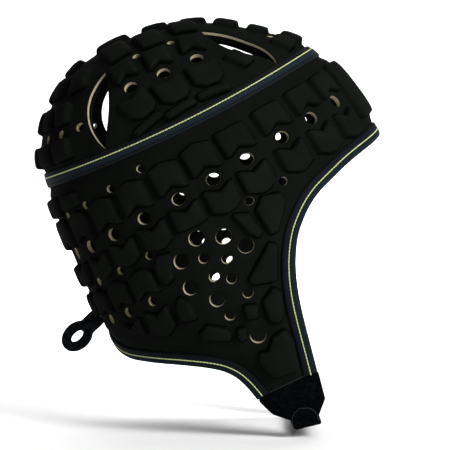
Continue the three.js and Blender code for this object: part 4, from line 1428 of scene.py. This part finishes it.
def make_nape_loop():
    """Flat lace loop in the middle plane, ribbed round its hole, with its stem sewn to the nape."""
    seat = on_band(ARC / 2, LOOP_SEAT, np.array([GAP * 2 + TAPE]))[0]
    middle = np.array([seat[0] - LOOP_REACH, seat[2] - LOOP_FALL])
    way = np.array([seat[0], seat[2]]) - middle
    heading = math.atan2(way[1], way[0])
    stem_end = np.linalg.norm(way) - STEM_CLEARANCE
    turn = np.linspace(-math.pi, math.pi, LOOP_STATIONS, endpoint=False)
    cos, sin = np.cos(turn), np.sin(turn)
    stem = np.minimum(stem_end / np.maximum(cos, SMALLEST_SHADOW),
                      LOOP_STEM / 2 / np.maximum(np.abs(sin), SMALLEST_SHADOW))
    oval_edge = 1 / np.hypot(cos / LOOP_RADIUS, sin / LOOP_HALF_WIDTH)
    outer = np.where(cos > 0, np.maximum(oval_edge, stem), oval_edge)
    inner = 1 / np.hypot(cos / LACE_HOLE[0], sin / LACE_HOLE[1])
    shares = np.linspace(0, 1, LACE_STEPS)
    edge = np.sqrt(np.clip(1 - (2 * shares - 1) ** LACE_SQUARENESS, 0, 1))
    ribs = 1 - RIB_DEPTH * (1 - np.abs(np.sin(LACE_RIBS * math.pi * shares)))
    half = LACE_THICKNESS / 2 * edge * ribs
    section = [(share, height) for share, height in zip(shares, half)]
    section += [(share, -height) for share, height in zip(shares[1:-1][::-1], half[1:-1][::-1])]
    rings = []
    for share, height in section:
        far = inner + share * (outer - inner)
        x = middle[0] + far * np.cos(heading + turn)
        z = middle[1] + far * np.sin(heading + turn)
        rings.append(np.stack([x, np.full_like(x, height), z], axis=-1))
    rings = np.stack(rings, axis=1)
    lengths = np.linspace(0, LACE_LENGTH, LOOP_STATIONS + 1)
    widths = [share * LACE_WIDTH for share, _ in section]
    return swept("nape_lace", rings, True, LACE, "nape_loop", lengths, widths)


make_band()
make_crown()
make_seam_tape()
make_binding("face_edge_tape", face_path, True, "face_binding")
make_binding("neck_edge_tape", neck_path, False, "neck_binding")
make_lime_lines()
make_tab("right_tab_pile", 1, "chin_tab_right")
make_tab("left_tab_pile", -1, "chin_tab_left")
make_tab_stitches()
make_strap()
make_nape_loop()


# Studio: pale floor and backdrop, soft lights, camera at the photo's angle

VIEW_CENTRE = Vector((0.0105, 0.0, -0.1201))
VIEW_DISTANCE = 1.4
VIEW_RISE = math.radians(3)
PHOTO_PIXELS = 450
PIXEL_SIZE = 0.625          # millimetres on the part for each pixel of the photo
VIEW_WIDTH = PHOTO_PIXELS * PIXEL_SIZE * MM
SENSOR_WIDTH = 36
VIEW_END = 50

# Floor in metres: side, way below the part, height of the backdrop behind it, and the bend between them
FLOOR_SIZE = 8.0
FLOOR_CLEARANCE = 0.004
BACKDROP_HEIGHT = 4.0
BEND_WIDTH = 1.5
BEND_STEPS = 16


def make_stage():
    """Matte white studio paper, from the floor up behind the part in one bend."""
    finish = {"Roughness": 0.9, "Specular IOR Level": 0.1}
    material, tree, shader = new_material("white_studio_paper", finish)
    two_tones(tree, shader, "f7f7f7", "fafafa", grains(tree, 3.33))
    bpy.ops.object.select_all(action="DESELECT")
    floor_height = cad_box[0][2] - FLOOR_CLEARANCE
    bpy.ops.mesh.primitive_plane_add(size=FLOOR_SIZE, location=(0, 0, floor_height))
    floor = bpy.context.object
    floor.name = "studio_floor"
    bpy.ops.object.transform_apply(location=True, rotation=True, scale=True)
    bpy.ops.object.mode_set(mode="EDIT")
    bpy.ops.mesh.select_all(action="DESELECT")
    bpy.ops.object.mode_set(mode="OBJECT")
    for edge in floor.data.edges:
        edge.select = all(floor.data.vertices[end].co.y > 0 for end in edge.vertices)
    bpy.ops.object.mode_set(mode="EDIT")
    bpy.ops.mesh.extrude_edges_move(TRANSFORM_OT_translate={"value": (0, 0, BACKDROP_HEIGHT)})
    bpy.ops.object.mode_set(mode="OBJECT")
    bend = floor.modifiers.new("bend", "BEVEL")
    bend.width = BEND_WIDTH
    bend.segments = BEND_STEPS
    bpy.ops.object.modifier_apply(modifier="bend")
    bpy.ops.object.shade_smooth()
    floor.data.materials.append(material)


# Soft lights: name, place, aim, size across, power in watts
PART_MIDDLE = (0.0, 0.0, -0.12)
LIGHTS = (
    ("front_softbox", (1.25, -1.4, 0.9), PART_MIDDLE, 0.9, 64),
    ("rear_softbox", (-1.3, -1.1, 0.7), PART_MIDDLE, 1.2, 2),
    ("top_softbox", (0.0, 0.6, 1.8), PART_MIDDLE, 1.6, 16),
    ("backdrop_softbox", (0.0, 0.9, 1.6), (0.0, 3.4, 0.2), 2.0, 140),
)
ROOM_LIGHT = 0.15


def make_lights():
    for name, place, aim, size, power in LIGHTS:
        light = bpy.data.lights.new(name, "AREA")
        light.size = size
        light.energy = power
        lamp = bpy.data.objects.new(name, light)
        bpy.context.collection.objects.link(lamp)
        lamp.location = place
        lamp.rotation_euler = (Vector(aim) - Vector(place)).to_track_quat("-Z", "Y").to_euler()
    world = bpy.data.worlds.new("white_room")
    bpy.context.scene.world = world
    world.use_nodes = True
    room = world.node_tree.nodes["Background"]
    room.inputs["Color"].default_value = (1, 1, 1, 1)
    room.inputs["Strength"].default_value = ROOM_LIGHT


def make_camera():
    camera = bpy.data.cameras.new("photo_camera")
    camera.sensor_width = SENSOR_WIDTH
    camera.lens = SENSOR_WIDTH * VIEW_DISTANCE / VIEW_WIDTH
    camera.clip_end = VIEW_END
    holder = bpy.data.objects.new("photo_camera", camera)
    bpy.context.collection.objects.link(holder)
    way = Vector((0, math.cos(VIEW_RISE), -math.sin(VIEW_RISE)))
    holder.location = VIEW_CENTRE - way * VIEW_DISTANCE
    holder.rotation_euler = way.to_track_quat("-Z", "Y").to_euler()
    bpy.context.scene.camera = holder


make_stage()
make_lights()
make_camera()
bpy.context.scene.view_settings.view_transform = "Standard"
